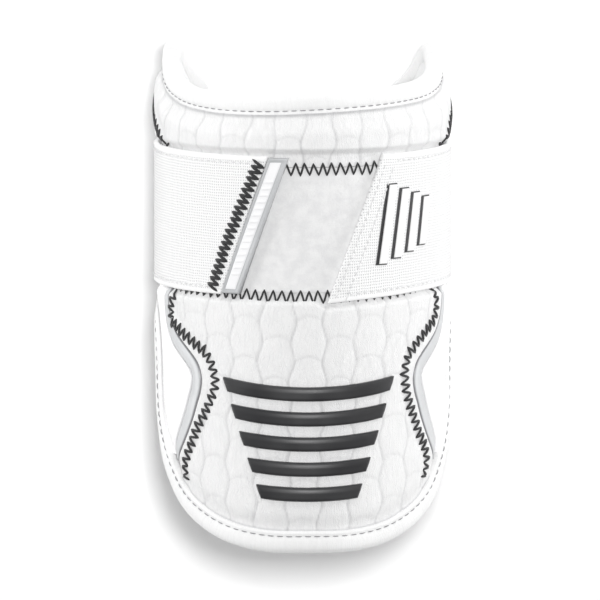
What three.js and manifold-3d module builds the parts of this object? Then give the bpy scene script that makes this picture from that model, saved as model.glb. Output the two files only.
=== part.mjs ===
// Elbow guard: a padded cuff, open at the back, with a rounded tongue over the elbow and one wide strap.
// Millimetres. The guard lies on the flat stretch of strap across its open back, front face up:
// +X is the right side seen from the front, +Y runs up the arm from the tongue, +Z points out of the front.
// A point on the guard is given by its angle round the arm (degrees from the front centre, right side
// positive), its height along the arm above the tip of the tongue, and its radius from the arm's axis.
import * as THREE from "three";
import { mergeVertices } from "three/addons/utils/BufferGeometryUtils.js";
import Module from "manifold-3d";

const wasm = await Module();
wasm.setup();

// Lengths along the arm
const TONGUE_REACH = 98.3; // tip of the tongue to the strap's lower edge
const STRAP_WIDTH = 53.5;
const COLLAR_RISE = 37; // strap's upper edge to the highest points of the rim
const RIM_LEAN = 1.2; // how much higher the rim runs on the right of the front than on the left

// Round the arm
const ARM_RADIUS = 46.8; // inside of the padding
const WRAP_ANGLE = 137; // front centre to each rear edge
const FOAM_THICKNESS = 6;
const QUILT_THICKNESS = 4;
const FIT_GAP = 0.3; // between layers
const SEAM_GAP = 0.5; // between neighbours in one layer
const COVER_EDGE = 0.4; // least thickness of a cover, where it meets the binding

// Rolled binding round the rim
const TONGUE_BINDING_WIDTH = 8.6;
const COLLAR_BINDING_WIDTH = 7.8; // round the collar and along the rear edges
const BINDING_THICKNESS = 7;
const RIM_INSET = 3.4; // binding's face below the quilt's crown, along the collar and the rear edges
const TONGUE_INSET = 0.2; // the same along the tongue
const PINCH_WIDTH = 9; // the padding thins over this width beside the binding
const TONGUE_STEP = 1.5; // the padding meets the tongue's binding this far below its face
const COLLAR_STEP = 0.5; // the same round the collar

// Quilting
const CHANNEL_PITCH = 11.7;
const CHANNEL_DEPTH = 0.9;
const HEM_DIP = 0.9; // how far a quilted panel sinks at its side hems
const HEM_WIDTH = 4;
const RELIEF_MARGIN = 1; // the quilt's relief reaches this far past the panel

// Lower panel, trim and shield
const PANEL_HALF_ANGLE = 66; // widest part of the lower panel
const PANEL_FOOT_ANGLE = 59.5; // where its hem meets the binding
const TRIM_WIDTH = 4.9;
const TRIM_INSET = 0.3; // faces of the trim and the window below the quilt's crown
const SHIELD_INSET = 0.6;
const SHIELD_FOOT = 0.4; // where the window starts, as a share of the first step of the trim
const SHIELD_REAR_ANGLE = 112;
const UPPER_SEAM_LOW_ANGLE = 71; // side seams of the upper panel, at the strap and at the rim
const UPPER_SEAM_HIGH_ANGLE = 106;

// Patch, strap and tab
const PATCH_THICKNESS = 1.6;
const PATCH_HALF_ANGLE = 60;
const PATCH_MARGIN_LOW = 1; // patch edge inside the strap's lower edge
const PATCH_MARGIN_HIGH = 4.4; // patch edge inside the strap's upper edge
const STRAP_THICKNESS = 2;
const STRAP_BEND_RADIUS = 9; // round the rear edges of the cuff
const STRAP_LIFT_ANGLE = 5; // the strap leaves the cuff this far before the rear edge
const STRAP_RAMP = 3.2; // the padding rises to its full depth over this length beside the strap
const RIGHT_END_LOW_ANGLE = 6.9;
const RIGHT_END_HIGH_ANGLE = 30;
const LEFT_END_LOW_ANGLE = -36.2;
const LEFT_END_HIGH_ANGLE = -16;
const TIP_DROP = 2.7; // the right end's lower corner hangs this far below the strap's edge
const TIP_DROP_REACH = 62; // degrees from that corner to where the edge is level again
const TIP_EDGE_ANGLE = 5; // the padding sinks under the corner over this angle
const TAB_WIDTH = 7.7;
const TAB_THICKNESS = 2.6;
const TAB_MARGIN = 0.6; // tab ends inside the strap's edges

// Moulded ribs on the tongue and bars on the strap
const RIB_COUNT = 5;
const RIB_HEIGHT = 5.4;
const RIB_THICKNESS = 1.7;
const RIB_PITCH = 9.6;
const RIB_LOWEST = 24.3; // middle of the lowest rib
const RIB_TOP_HALF_WIDTH = 33;
const RIB_STEP_IN = 3.4; // each rib is this much shorter at each end than the one above
const RIB_SAG = 3; // middle of a rib below its ends
const RIB_BEVEL = 1.1;
const BAR_COUNT = 4;
const BAR_WIDTH = 3.4;
const BAR_PITCH = 6.5;
const BAR_FIRST_ANGLE = 32;
const BAR_LENGTH = 30;
const BAR_STEP_IN = 2; // each bar is this much shorter at each end than the one before
const BAR_THICKNESS = 1;
const BAR_BEVEL = 0.5;

// Edge of the tongue from the tip to the rear corner: angle as a share of WRAP_ANGLE,
// height as a share of TONGUE_REACH.
const TONGUE_EDGE = [
  { round: 0, up: 0 },
  { round: 0.131, up: 0.003 },
  { round: 0.249, up: 0.031 },
  { round: 0.364, up: 0.094 },
  { round: 0.444, up: 0.164 },
  { round: 0.497, up: 0.234 },
  { round: 0.543, up: 0.307 },
  { round: 0.589, up: 0.391 },
  { round: 0.624, up: 0.489 },
  { round: 0.639, up: 0.601 },
  { round: 0.646, up: 0.699 },
  { round: 0.664, up: 0.793 },
  { round: 0.73, up: 0.908 },
  { round: 0.861, up: 0.97 },
  { round: 0.96, up: 1.015 },
];

// Rear edge between its corners: angle as a share of WRAP_ANGLE, height as a share of STRAP_WIDTH.
const REAR_EDGE = [
  { round: 1, up: 0.2 },
  { round: 1, up: 0.6 },
  { round: 0.997, up: 1 },
];

// Edge of the collar from the rear corner to the front: angle as a share of WRAP_ANGLE,
// height above the strap as a share of COLLAR_RISE.
const COLLAR_EDGE = [
  { round: 0.985, up: 0.38 },
  { round: 0.96, up: 0.52 },
  { round: 0.9, up: 0.65 },
  { round: 0.845, up: 0.78 },
  { round: 0.775, up: 0.96 },
  { round: 0.715, up: 1 },
  { round: 0.66, up: 0.93 },
  { round: 0.615, up: 0.84 },
  { round: 0.56, up: 0.765 },
  { round: 0.5, up: 0.72 },
  { round: 0.42, up: 0.675 },
  { round: 0.29, up: 0.645 },
  { round: 0.14, up: 0.635 },
  { round: 0, up: 0.635 },
];

// Middle line of the trim beside the hourglass panel, from the foot up: height as a share of TONGUE_REACH,
// angle as a share of PANEL_HALF_ANGLE, width as a share of TRIM_WIDTH.
const SIDE_CURVE = [
  { up: 0.33, round: 0.935, width: 0.35 },
  { up: 0.375, round: 0.914, width: 0.75 },
  { up: 0.42, round: 0.88, width: 0.95 },
  { up: 0.47, round: 0.838, width: 1 },
  { up: 0.52, round: 0.8, width: 1 },
  { up: 0.575, round: 0.768, width: 1 },
  { up: 0.62, round: 0.742, width: 1 },
  { up: 0.66, round: 0.734, width: 1 },
  { up: 0.7, round: 0.752, width: 1 },
  { up: 0.73, round: 0.795, width: 1 },
  { up: 0.765, round: 0.866, width: 1 },
  { up: 0.8, round: 0.938, width: 1 },
  { up: 0.835, round: 0.987, width: 0.95 },
  { up: 0.875, round: 1.023, width: 0.9 },
  { up: 0.92, round: 1.045, width: 0.85 },
  { up: 0.964, round: 1.055, width: 0.8 },
];

// Radii and heights that follow from the sizes
const FOAM_OUTER = ARM_RADIUS + FOAM_THICKNESS;
const PANEL_INNER = FOAM_OUTER + FIT_GAP;
const QUILT_OUTER = PANEL_INNER + QUILT_THICKNESS;
const PATCH_OUTER = PANEL_INNER + PATCH_THICKNESS;
const STRAP_INNER = PATCH_OUTER + FIT_GAP;
const STRAP_OUTER = STRAP_INNER + STRAP_THICKNESS;
const STRAP_LOW = TONGUE_REACH;
const STRAP_HIGH = STRAP_LOW + STRAP_WIDTH;
const MM_PER_DEGREE = THREE.MathUtils.degToRad(QUILT_OUTER); // along the quilt's face

// Grid counts
const EDGE_COLUMNS = 40; // along the tongue's edge and along the collar
const EDGE_ROWS = 8; // along each rear edge
const CURVE_STEPS = 12; // fine steps between two rows of the edge tables
const BINDING_SIDES = 8;
const BINDING_SQUARENESS = 0.7; // 1 is an oval section, less is squarer
const ROOM_SIDES = 48;
const LOWER_QUILT_COLUMNS = 20;
const LOWER_QUILT_ROWS = 9;
const UPPER_QUILT_COLUMNS = 32;
const UPPER_QUILT_ROWS = 4;
const UPPER_SEAM_STEPS = 5;
const SHIELD_COLUMNS = 7;
const WING_COLUMNS = 6;
const PATCH_COLUMNS = 24;
const STRAP_STEPS = 18; // from each front end to where the strap leaves the cuff
const BEND_STEPS = 5;
const STRAP_ROWS = 5;
const TAB_ROWS = 6;
const RIB_STEPS = 6;
const TIP_STEPS = 8; // along the room under the strap's right corner

const lerp = THREE.MathUtils.lerp;
const smoothstep = THREE.MathUtils.smoothstep;

function place(angle, height, radius) {
  const turn = THREE.MathUtils.degToRad(angle);
  return new THREE.Vector3(radius * Math.sin(turn), height, radius * Math.cos(turn));
}

// Closed shell between two grids of points, grid[column][row]: columns run with the angle, rows upward.
function shellGeometry(outer, inner) {
  const columns = outer.length;
  const rows = outer[0].length;
  const positions = [];
  for (const grid of [outer, inner]) {
    for (const column of grid) {
      for (const point of column) {
        positions.push(point.x, point.y, point.z);
      }
    }
  }
  const index = [];
  const out = (i, j) => i * rows + j;
  const inside = (i, j) => (columns + i) * rows + j;
  const quad = (a, b, c, d) => index.push(a, b, c, a, c, d);
  for (let i = 0; i < columns - 1; i++) {
    for (let j = 0; j < rows - 1; j++) {
      quad(out(i, j), out(i + 1, j), out(i + 1, j + 1), out(i, j + 1));
      quad(inside(i, j), inside(i, j + 1), inside(i + 1, j + 1), inside(i + 1, j));
    }
    quad(inside(i, 0), inside(i + 1, 0), out(i + 1, 0), out(i, 0));
    quad(out(i, rows - 1), out(i + 1, rows - 1), inside(i + 1, rows - 1), inside(i, rows - 1));
  }
  const last = columns - 1;
  for (let j = 0; j < rows - 1; j++) {
    quad(out(0, j), out(0, j + 1), inside(0, j + 1), inside(0, j));
    quad(inside(last, j), inside(last, j + 1), out(last, j + 1), out(last, j));
  }
  const geometry = new THREE.BufferGeometry();
  geometry.setAttribute("position", new THREE.Float32BufferAttribute(positions, 3));
  geometry.setIndex(index);
  return geometry;
}

// Shell over a grid of flat points (angle and height), between two radius rules.
function panelGeometry(flat, outerRadius, innerRadius) {
  const lay = (rule) => flat.map((column) => column.map((p) => place(p.angle, p.height, rule(p))));
  return shellGeometry(lay(outerRadius), lay(innerRadius));
}

// Fills the space between four edges of flat points with a grid. Low and high run with the angle, left and
// right run upward, and neighbouring edges share their corner.
function fillEdges(low, high, left, right) {
  const blend = (key, i, j) => {
    const u = i / (low.length - 1);
    const v = j / (left.length - 1);
    const across = lerp(left[j][key], right[j][key], u);
    const upward = lerp(low[i][key], high[i][key], v);
    const bottom = lerp(low[0][key], low.at(-1)[key], u);
    const top = lerp(high[0][key], high.at(-1)[key], u);
    return across + upward - lerp(bottom, top, v);
  };
  const at = (i, j) => ({ angle: blend("angle", i, j), height: blend("height", i, j) });
  return low.map((_, i) => left.map((__, j) => at(i, j)));
}

const flatDistance = (a, b) => Math.hypot((a.angle - b.angle) * MM_PER_DEGREE, a.height - b.height);

const between = (a, b, share) => ({
  angle: lerp(a.angle, b.angle, share),
  height: lerp(a.height, b.height, share),
});

// Spreads count steps evenly along a line of flat points.
function resample(line, count) {
  const reach = [0];
  for (let k = 1; k < line.length; k++) {
    reach.push(reach[k - 1] + flatDistance(line[k - 1], line[k]));
  }
  const points = [];
  let k = 1;
  for (let step = 0; step <= count; step++) {
    const wanted = (reach.at(-1) * step) / count;
    while (k < line.length - 1 && reach[k] < wanted) {
      k++;
    }
    points.push(between(line[k - 1], line[k], (wanted - reach[k - 1]) / (reach[k] - reach[k - 1])));
  }
  return points;
}

// The rim of the whole pad as four stretches that share their corners: low, right, high and left.
function rimStretches() {
  const low = TONGUE_EDGE.map((row) => ({ angle: row.round * WRAP_ANGLE, height: row.up * TONGUE_REACH }));
  const rear = REAR_EDGE.map((row) => ({
    angle: row.round * WRAP_ANGLE,
    height: STRAP_LOW + row.up * STRAP_WIDTH,
  }));
  const high = COLLAR_EDGE.map((row) => ({
    angle: row.round * WRAP_ANGLE,
    height: STRAP_HIGH + row.up * COLLAR_RISE,
  }));
  const lean = (p) => ({
    angle: p.angle,
    height: p.height + RIM_LEAN * Math.sin(THREE.MathUtils.degToRad(2 * p.angle)),
  });
  const mirror = (p) => ({ angle: -p.angle, height: p.height });
  const collar = [...high, ...high.slice(0, -1).reverse().map(mirror)].map(lean);
  const loop = [
    ...low.slice(1).reverse().map(mirror),
    ...low,
    ...rear,
    ...collar,
    ...rear.slice().reverse().map(mirror),
  ];
  const curve = new THREE.CatmullRomCurve3(
    loop.map((p) => new THREE.Vector3(p.angle * MM_PER_DEGREE, p.height, 0)),
    true,
    "centripetal",
  );
  const sweep = (from, to, count) => {
    const fine = [];
    const steps = CURVE_STEPS * (to - from);
    for (let k = 0; k <= steps; k++) {
      const point = curve.getPoint(((from + ((to - from) * k) / steps) / loop.length) % 1);
      fine.push({ angle: point.x / MM_PER_DEGREE, height: point.y });
    }
    return resample(fine, count);
  };
  const rightLow = 2 * low.length - 2;
  const rightHigh = rightLow + rear.length + 1;
  const leftHigh = rightHigh + collar.length - 1;
  return {
    low: sweep(0, rightLow, EDGE_COLUMNS),
    right: sweep(rightLow, rightHigh, EDGE_ROWS),
    high: sweep(rightHigh, leftHigh, EDGE_COLUMNS).reverse(),
    left: sweep(leftHigh, loop.length, EDGE_ROWS).reverse(),
  };
}

const RIM = rimStretches();

// The rim as one loop, anticlockwise seen from outside.
function loopOf(stretches) {
  return [
    ...stretches.low.slice(0, -1),
    ...stretches.right.slice(0, -1),
    ...stretches.high.slice(1).reverse(),
    ...stretches.left.slice(1).reverse(),
  ];
}

const RIM_LOOP = loopOf(RIM);

// From 0 along the tongue to 1 from the strap upward.
const aboveTongue = (height) => smoothstep(height, STRAP_LOW - 2 * PINCH_WIDTH, STRAP_LOW);

const bindingWidth = (height) => lerp(TONGUE_BINDING_WIDTH, COLLAR_BINDING_WIDTH, aboveTongue(height));

// Face of the binding: high along the tongue, lower under the strap and round the collar.
const bindingFace = (height) => QUILT_OUTER - lerp(TONGUE_INSET, RIM_INSET, aboveTongue(height));

// A point at the given distance inward from station k of the rim, measured in the surface.
function insetPoint(k, distance) {
  const count = RIM_LOOP.length;
  const here = RIM_LOOP[k % count];
  const before = RIM_LOOP[(k + count - 1) % count];
  const after = RIM_LOOP[(k + 1) % count];
  const run = (after.angle - before.angle) * MM_PER_DEGREE;
  const rise = after.height - before.height;
  const length = Math.hypot(run, rise);
  return {
    angle: here.angle - ((rise / length) * distance) / MM_PER_DEGREE,
    height: here.height + (run / length) * distance,
  };
}

// The same four stretches, moved inward past the binding.
function insetStretches(clearance) {
  const loop = RIM_LOOP.map((p, k) => insetPoint(k, bindingWidth(p.height) + clearance));
  const rightHigh = EDGE_COLUMNS + EDGE_ROWS;
  const leftHigh = rightHigh + EDGE_COLUMNS;
  return {
    low: loop.slice(0, EDGE_COLUMNS + 1),
    right: loop.slice(EDGE_COLUMNS, rightHigh + 1),
    high: loop.slice(rightHigh, leftHigh + 1).reverse(),
    left: [...loop.slice(leftHigh), loop[0]].reverse(),
  };
}

const FOAM_EDGE = insetStretches(3 * FIT_GAP);
const PANEL_EDGE = insetStretches(FIT_GAP + SEAM_GAP);
const PANEL_LOOP = loopOf(PANEL_EDGE);

// Depth of a flat point inside a closed loop; negative outside it.
function depthInside(point, loop) {
  const x = point.angle * MM_PER_DEGREE;
  const y = point.height;
  let nearest = Infinity;
  let inside = false;
  for (let k = 0; k < loop.length; k++) {
    const a = loop[k];
    const b = loop[(k + 1) % loop.length];
    const ax = a.angle * MM_PER_DEGREE;
    const bx = b.angle * MM_PER_DEGREE;
    const run = bx - ax;
    const rise = b.height - a.height;
    const along = ((x - ax) * run + (y - a.height) * rise) / (run * run + rise * rise);
    const share = THREE.MathUtils.clamp(along, 0, 1);
    nearest = Math.min(nearest, Math.hypot(x - ax - share * run, y - a.height - share * rise));
    if (a.height > y !== b.height > y && x < ax + (run * (y - a.height)) / rise) {
      inside = !inside;
    }
  }
  return inside ? nearest : -nearest;
}

// Height of the strap's lower edge, which hangs a little at the right end's lower corner.
function strapFoot(angle) {
  const past = (angle - RIGHT_END_LOW_ANGLE) / TIP_DROP_REACH;
  const hang = THREE.MathUtils.clamp(1 - past, 0, 1) ** 2;
  const start = smoothstep(angle, RIGHT_END_LOW_ANGLE - TIP_EDGE_ANGLE, RIGHT_END_LOW_ANGLE);
  return STRAP_LOW - TIP_DROP * hang * start;
}

// Outer surface of the dressed padding: pinched at the binding and pressed down under the strap.
function coverRadius(point) {
  const depth = depthInside(point, PANEL_LOOP);
  const step = lerp(TONGUE_STEP, COLLAR_STEP, aboveTongue(point.height));
  const seam = bindingFace(point.height) - step;
  const swollen = lerp(seam, QUILT_OUTER, Math.sin((smoothstep(depth, 0, PINCH_WIDTH) * Math.PI) / 2));
  const pressed = Math.min(swollen, PATCH_OUTER);
  const foot = strapFoot(point.angle);
  const below = smoothstep(point.height, foot - STRAP_RAMP, foot - FIT_GAP);
  const above = smoothstep(point.height, STRAP_HIGH + FIT_GAP, STRAP_HIGH + STRAP_RAMP);
  return lerp(swollen, pressed, below * (1 - above));
}

// Face of a cover that lies below the dressed padding by inset, never thinner than its sewn edge.
const coverFace = (inset, inner) => (p) => Math.max(coverRadius(p) - inset, inner + COVER_EDGE);

// Point of an inset stretch at a given angle.
function atAngle(stretch, angle) {
  for (let k = 1; k < stretch.length; k++) {
    const a = stretch[k - 1];
    const b = stretch[k];
    if (Math.min(a.angle, b.angle) <= angle && angle <= Math.max(a.angle, b.angle)) {
      return between(a, b, (angle - a.angle) / (b.angle - a.angle));
    }
  }
  return stretch.at(-1);
}

// Point of a rising stretch at a given height.
function atHeight(stretch, height) {
  const k = stretch.findIndex((p) => p.height > height);
  const a = stretch[k - 1];
  const b = stretch[k];
  return between(a, b, (height - a.height) / (b.height - a.height));
}

// Part of a stretch between two angles, with both ends.
function cutStretch(stretch, from, to, count) {
  const middle = stretch.filter((p) => p.angle > from && p.angle < to);
  return resample([atAngle(stretch, from), ...middle, atAngle(stretch, to)], count);
}

function straight(a, b, count) {
  return Array.from({ length: count + 1 }, (_, k) => between(a, b, k / count));
}

const mirrored = (line) => line.map((p) => ({ angle: -p.angle, height: p.height }));

// A stretch of the rim with rising angle, seen from the given side.
const rimBeside = (stretch, side) => (side > 0 ? stretch : mirrored(stretch).reverse());

// A side piece is described for the right side, with low and high running away from the front, and mirrored
// for the left.
function sideGrid(side, low, high, front, rear) {
  if (side > 0) {
    return fillEdges(low, high, front, rear);
  }
  return fillEdges(
    mirrored(low).reverse(),
    mirrored(high).reverse(),
    mirrored(rear),
    mirrored(front),
  );
}

// The right side curve, moved square to itself away from the front by a distance and a share of the trim's
// width.
function sideCurve(distance, widthShare) {
  const line = SIDE_CURVE.map((row) => ({
    angle: row.round * PANEL_HALF_ANGLE,
    height: row.up * TONGUE_REACH,
  }));
  return line.map((p, k) => {
    const before = line[Math.max(k - 1, 0)];
    const after = line[Math.min(k + 1, line.length - 1)];
    const run = (after.angle - before.angle) * MM_PER_DEGREE;
    const rise = after.height - before.height;
    const shift = (distance + widthShare * SIDE_CURVE[k].width * TRIM_WIDTH) / Math.hypot(run, rise);
    return { angle: p.angle + (rise * shift) / MM_PER_DEGREE, height: p.height - run * shift };
  });
}

function solidOf(geometry) {
  const bare = geometry.clone();
  bare.deleteAttribute("normal");
  bare.deleteAttribute("uv");
  const merged = mergeVertices(bare, 1e-4);
  return new wasm.Manifold(
    new wasm.Mesh({
      numProp: 3,
      vertProperties: merged.attributes.position.array,
      triVerts: new Uint32Array(merged.index.array),
    }),
  );
}

function geometryOf(solid) {
  const mesh = solid.getMesh();
  const geometry = new THREE.BufferGeometry();
  geometry.setAttribute("position", new THREE.BufferAttribute(mesh.vertProperties, 3));
  geometry.setIndex(new THREE.BufferAttribute(mesh.triVerts, 1));
  return geometry;
}

// The room that the strap presses into the padding: a ring round the arm, lower under its right corner.
function strapRoom() {
  const low = STRAP_LOW - SEAM_GAP;
  const high = STRAP_HIGH + SEAM_GAP;
  const outside = QUILT_OUTER + QUILT_THICKNESS;
  const profile = [
    new THREE.Vector2(PATCH_OUTER, low),
    new THREE.Vector2(outside, low),
    new THREE.Vector2(outside, high),
    new THREE.Vector2(PATCH_OUTER, high),
    new THREE.Vector2(PATCH_OUTER, low),
  ];
  const tipColumn = (angle, foot) =>
    straight({ angle, height: foot - SEAM_GAP }, { angle, height: STRAP_LOW }, 1);
  const tip = [tipColumn(RIGHT_END_LOW_ANGLE - TIP_EDGE_ANGLE, STRAP_LOW)];
  for (let k = 0; k <= TIP_STEPS; k++) {
    const angle = RIGHT_END_LOW_ANGLE + (TIP_DROP_REACH * k) / TIP_STEPS;
    tip.push(tipColumn(k > 0 ? angle : angle - TIP_EDGE_ANGLE / 2, strapFoot(angle)));
  }
  const tipRoom = panelGeometry(
    tip,
    () => outside,
    () => PATCH_OUTER,
  );
  return solidOf(new THREE.LatheGeometry(profile, ROOM_SIDES)).add(solidOf(tipRoom));
}

const STRAP_ROOM = strapRoom();

const pressedGeometry = (geometry) => geometryOf(solidOf(geometry).subtract(STRAP_ROOM));

// Sewn channels running up the arm, one valley each pitch with the front centre on a crown.
function channelDepth(point) {
  const count = (point.angle * MM_PER_DEGREE) / CHANNEL_PITCH + 0.5;
  const offset = Math.abs(count - Math.round(count));
  return CHANNEL_DEPTH * Math.max(0, 1 - 4 * offset);
}

// A quilted panel: a relief with the sewn channels, trimmed to the panel's outline.
function quiltGeometry(outline, loop, halfAngle, low, high, rows) {
  const block = panelGeometry(
    outline,
    () => QUILT_OUTER + QUILT_THICKNESS,
    () => PANEL_INNER,
  );
  const step = CHANNEL_PITCH / 4 / MM_PER_DEGREE;
  const steps = Math.ceil(halfAngle / step);
  const relief = [];
  for (let i = -steps; i <= steps; i++) {
    relief.push(straight({ angle: i * step, height: low }, { angle: i * step, height: high }, rows));
  }
  const face = (p) => {
    const inward = depthInside(p, loop);
    const hem = HEM_DIP * (1 - smoothstep(inward, 0, HEM_WIDTH));
    const sewn = channelDepth(p) * smoothstep(inward, 0, HEM_WIDTH);
    return coverFace(hem + sewn, PANEL_INNER)(p);
  };
  const skin = panelGeometry(relief, face, () => PANEL_INNER - FOAM_THICKNESS / 2);
  return geometryOf(solidOf(skin).intersect(solidOf(block)).subtract(STRAP_ROOM));
}

// The last column of the foam beside a rear edge.
function rearColumn(stretch) {
  const foot = stretch[1];
  const head = stretch.at(-2);
  const nearer = Math.abs(foot.angle) < Math.abs(head.angle) ? foot.angle : head.angle;
  return [atAngle(stretch.slice(0, 3), nearer), atAngle(stretch.slice(EDGE_ROWS / 2), nearer)];
}

// The foam follows the rim in straight columns along the arm.
function padShell() {
  const ends = [
    rearColumn(FOAM_EDGE.left),
    ...FOAM_EDGE.low.map((p) => [p, atAngle(FOAM_EDGE.high, p.angle)]),
    rearColumn(FOAM_EDGE.right),
  ];
  const grid = ends.map(([foot, head]) => straight(foot, head, EDGE_ROWS));
  return panelGeometry(
    grid,
    () => FOAM_OUTER,
    () => ARM_RADIUS,
  );
}

// Rounded section swept round the whole rim.
function edgeBinding() {
  const rounded = (value) => Math.sign(value) * Math.abs(value) ** BINDING_SQUARENESS;
  const positions = [];
  for (let k = 0; k < RIM_LOOP.length; k++) {
    for (let side = 0; side < BINDING_SIDES; side++) {
      const turn = (2 * Math.PI * side) / BINDING_SIDES;
      const inward = (bindingWidth(RIM_LOOP[k].height) / 2) * (1 - rounded(Math.cos(turn)));
      const flat = insetPoint(k, inward);
      const middle = bindingFace(RIM_LOOP[k].height) - BINDING_THICKNESS / 2;
      const radius = middle + (BINDING_THICKNESS / 2) * rounded(Math.sin(turn));
      positions.push(...place(flat.angle, flat.height, radius).toArray());
    }
  }
  const index = [];
  const at = (k, side) => (k % RIM_LOOP.length) * BINDING_SIDES + (side % BINDING_SIDES);
  for (let k = 0; k < RIM_LOOP.length; k++) {
    for (let side = 0; side < BINDING_SIDES; side++) {
      const corners = [at(k, side), at(k + 1, side), at(k + 1, side + 1), at(k, side + 1)];
      index.push(corners[0], corners[1], corners[2], corners[0], corners[2], corners[3]);
    }
  }
  const geometry = new THREE.BufferGeometry();
  geometry.setAttribute("position", new THREE.Float32BufferAttribute(positions, 3));
  geometry.setIndex(index);
  return geometry;
}

function lowerQuilt() {
  const foot = atAngle(PANEL_EDGE.low, PANEL_FOOT_ANGLE);
  const hem = sideCurve(-SEAM_GAP, -0.5);
  const corner = { angle: hem.at(-1).angle, height: STRAP_LOW + PATCH_MARGIN_LOW - SEAM_GAP };
  const right = [foot, ...hem, corner];
  const left = mirrored(right);
  const low = cutStretch(PANEL_EDGE.low, -PANEL_FOOT_ANGLE, PANEL_FOOT_ANGLE, LOWER_QUILT_COLUMNS);
  left[0] = low[0];
  const high = straight(left.at(-1), right.at(-1), LOWER_QUILT_COLUMNS);
  const outline = fillEdges(low, high, left, right);
  const back = high.slice(0, -1).reverse();
  const loop = [...low, ...right.slice(1), ...back, ...left.slice(1, -1).reverse()];
  const reach = corner.height + RELIEF_MARGIN;
  return quiltGeometry(outline, loop, PANEL_HALF_ANGLE + RELIEF_MARGIN, 0, reach, LOWER_QUILT_ROWS);
}

function upperQuilt() {
  const low = STRAP_HIGH - PATCH_MARGIN_HIGH + SEAM_GAP;
  const columns = UPPER_QUILT_COLUMNS;
  const high = cutStretch(PANEL_EDGE.high, -UPPER_SEAM_HIGH_ANGLE, UPPER_SEAM_HIGH_ANGLE, columns);
  const leftFoot = { angle: -UPPER_SEAM_LOW_ANGLE, height: low };
  const rightFoot = { angle: UPPER_SEAM_LOW_ANGLE, height: low };
  const bottom = straight(leftFoot, rightFoot, columns);
  const left = straight(leftFoot, high[0], UPPER_SEAM_STEPS);
  const right = straight(rightFoot, high.at(-1), UPPER_SEAM_STEPS);
  const outline = fillEdges(bottom, high, left, right);
  const back = high.slice(0, -1).reverse();
  const loop = [...bottom, ...right.slice(1), ...back, ...left.slice(1, -1).reverse()];
  const halfAngle = UPPER_SEAM_HIGH_ANGLE + RELIEF_MARGIN;
  const reach = STRAP_HIGH + COLLAR_RISE;
  return quiltGeometry(outline, loop, halfAngle, low - RELIEF_MARGIN, reach, UPPER_QUILT_ROWS);
}

function trimBand(side) {
  const inner = sideCurve(0, -0.5);
  const outer = sideCurve(0, 0.5);
  for (const height of [STRAP_LOW - FIT_GAP, STRAP_LOW + PATCH_MARGIN_LOW]) {
    inner.push({ angle: inner.at(-1).angle, height });
    outer.push({ angle: outer.at(-1).angle, height });
  }
  const low = [inner[0], outer[0]];
  const high = [inner.at(-1), outer.at(-1)];
  const grid = sideGrid(side, low, high, inner, outer);
  return panelGeometry(grid, coverFace(TRIM_INSET, PANEL_INNER), () => PANEL_INNER);
}

// The hard window fills the side from the trim back, under the strap and up to the rim, in level rows.
function sideShield(side) {
  const rim = { low: rimBeside(PANEL_EDGE.low, side), high: rimBeside(PANEL_EDGE.high, side) };
  const shelf = STRAP_LOW + PATCH_MARGIN_LOW + SEAM_GAP;
  const upperLow = STRAP_HIGH - PATCH_MARGIN_HIGH;
  const gap = SEAM_GAP / MM_PER_DEGREE;
  const patchSide = PATCH_HALF_ANGLE + gap;
  const besideTrim = sideCurve(SEAM_GAP + FIT_GAP, 0.5);
  const seamHigh = atAngle(rim.high, UPPER_SEAM_HIGH_ANGLE + gap);
  const front = [
    between(besideTrim[0], besideTrim[1], SHIELD_FOOT),
    ...besideTrim.slice(1),
    { angle: besideTrim.at(-1).angle, height: shelf },
    ...straight(
      { angle: patchSide, height: shelf + TRIM_WIDTH },
      { angle: patchSide, height: upperLow - PATCH_MARGIN_HIGH },
      2,
    ),
    ...straight({ angle: UPPER_SEAM_LOW_ANGLE + gap, height: upperLow }, seamHigh, UPPER_SEAM_STEPS),
  ];
  const rearFoot = atAngle(rim.low, SHIELD_REAR_ANGLE);
  const edge = rim.low.filter((p) => p.angle > 0);
  const rear = front.map((p) =>
    p.height < rearFoot.height ? atHeight(edge, p.height) : { angle: SHIELD_REAR_ANGLE, height: p.height },
  );
  const low = straight(front[0], rear[0], SHIELD_COLUMNS);
  const high = straight(front.at(-1), rear.at(-1), SHIELD_COLUMNS);
  const grid = sideGrid(side, low, high, front, rear);
  const inner = PANEL_INNER + FIT_GAP;
  return pressedGeometry(panelGeometry(grid, coverFace(SHIELD_INSET, inner), () => inner));
}

function wingPanel(side) {
  const rim = { low: rimBeside(PANEL_EDGE.low, side), high: rimBeside(PANEL_EDGE.high, side) };
  const rearLine = side > 0 ? PANEL_EDGE.right : mirrored(PANEL_EDGE.left);
  const frontAngle = SHIELD_REAR_ANGLE + SEAM_GAP / MM_PER_DEGREE;
  const low = cutStretch(rim.low, frontAngle, rearLine[0].angle, WING_COLUMNS);
  const high = cutStretch(rim.high, frontAngle, rearLine.at(-1).angle, WING_COLUMNS);
  low[WING_COLUMNS] = rearLine[0];
  high[WING_COLUMNS] = rearLine.at(-1);
  const front = straight(low[0], high[0], rearLine.length - 1);
  const grid = sideGrid(side, low, high, front, rearLine);
  return pressedGeometry(panelGeometry(grid, coverFace(0, PANEL_INNER), () => PANEL_INNER));
}

function loopPatch() {
  const low = STRAP_LOW + PATCH_MARGIN_LOW;
  const high = STRAP_HIGH - PATCH_MARGIN_HIGH;
  const edge = (height) =>
    straight({ angle: -PATCH_HALF_ANGLE, height }, { angle: PATCH_HALF_ANGLE, height }, PATCH_COLUMNS);
  const bottom = edge(low);
  const top = edge(high);
  const grid = bottom.map((p, i) => straight(p, top[i], 1));
  return panelGeometry(
    grid,
    () => PATCH_OUTER,
    () => PANEL_INNER,
  );
}

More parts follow.
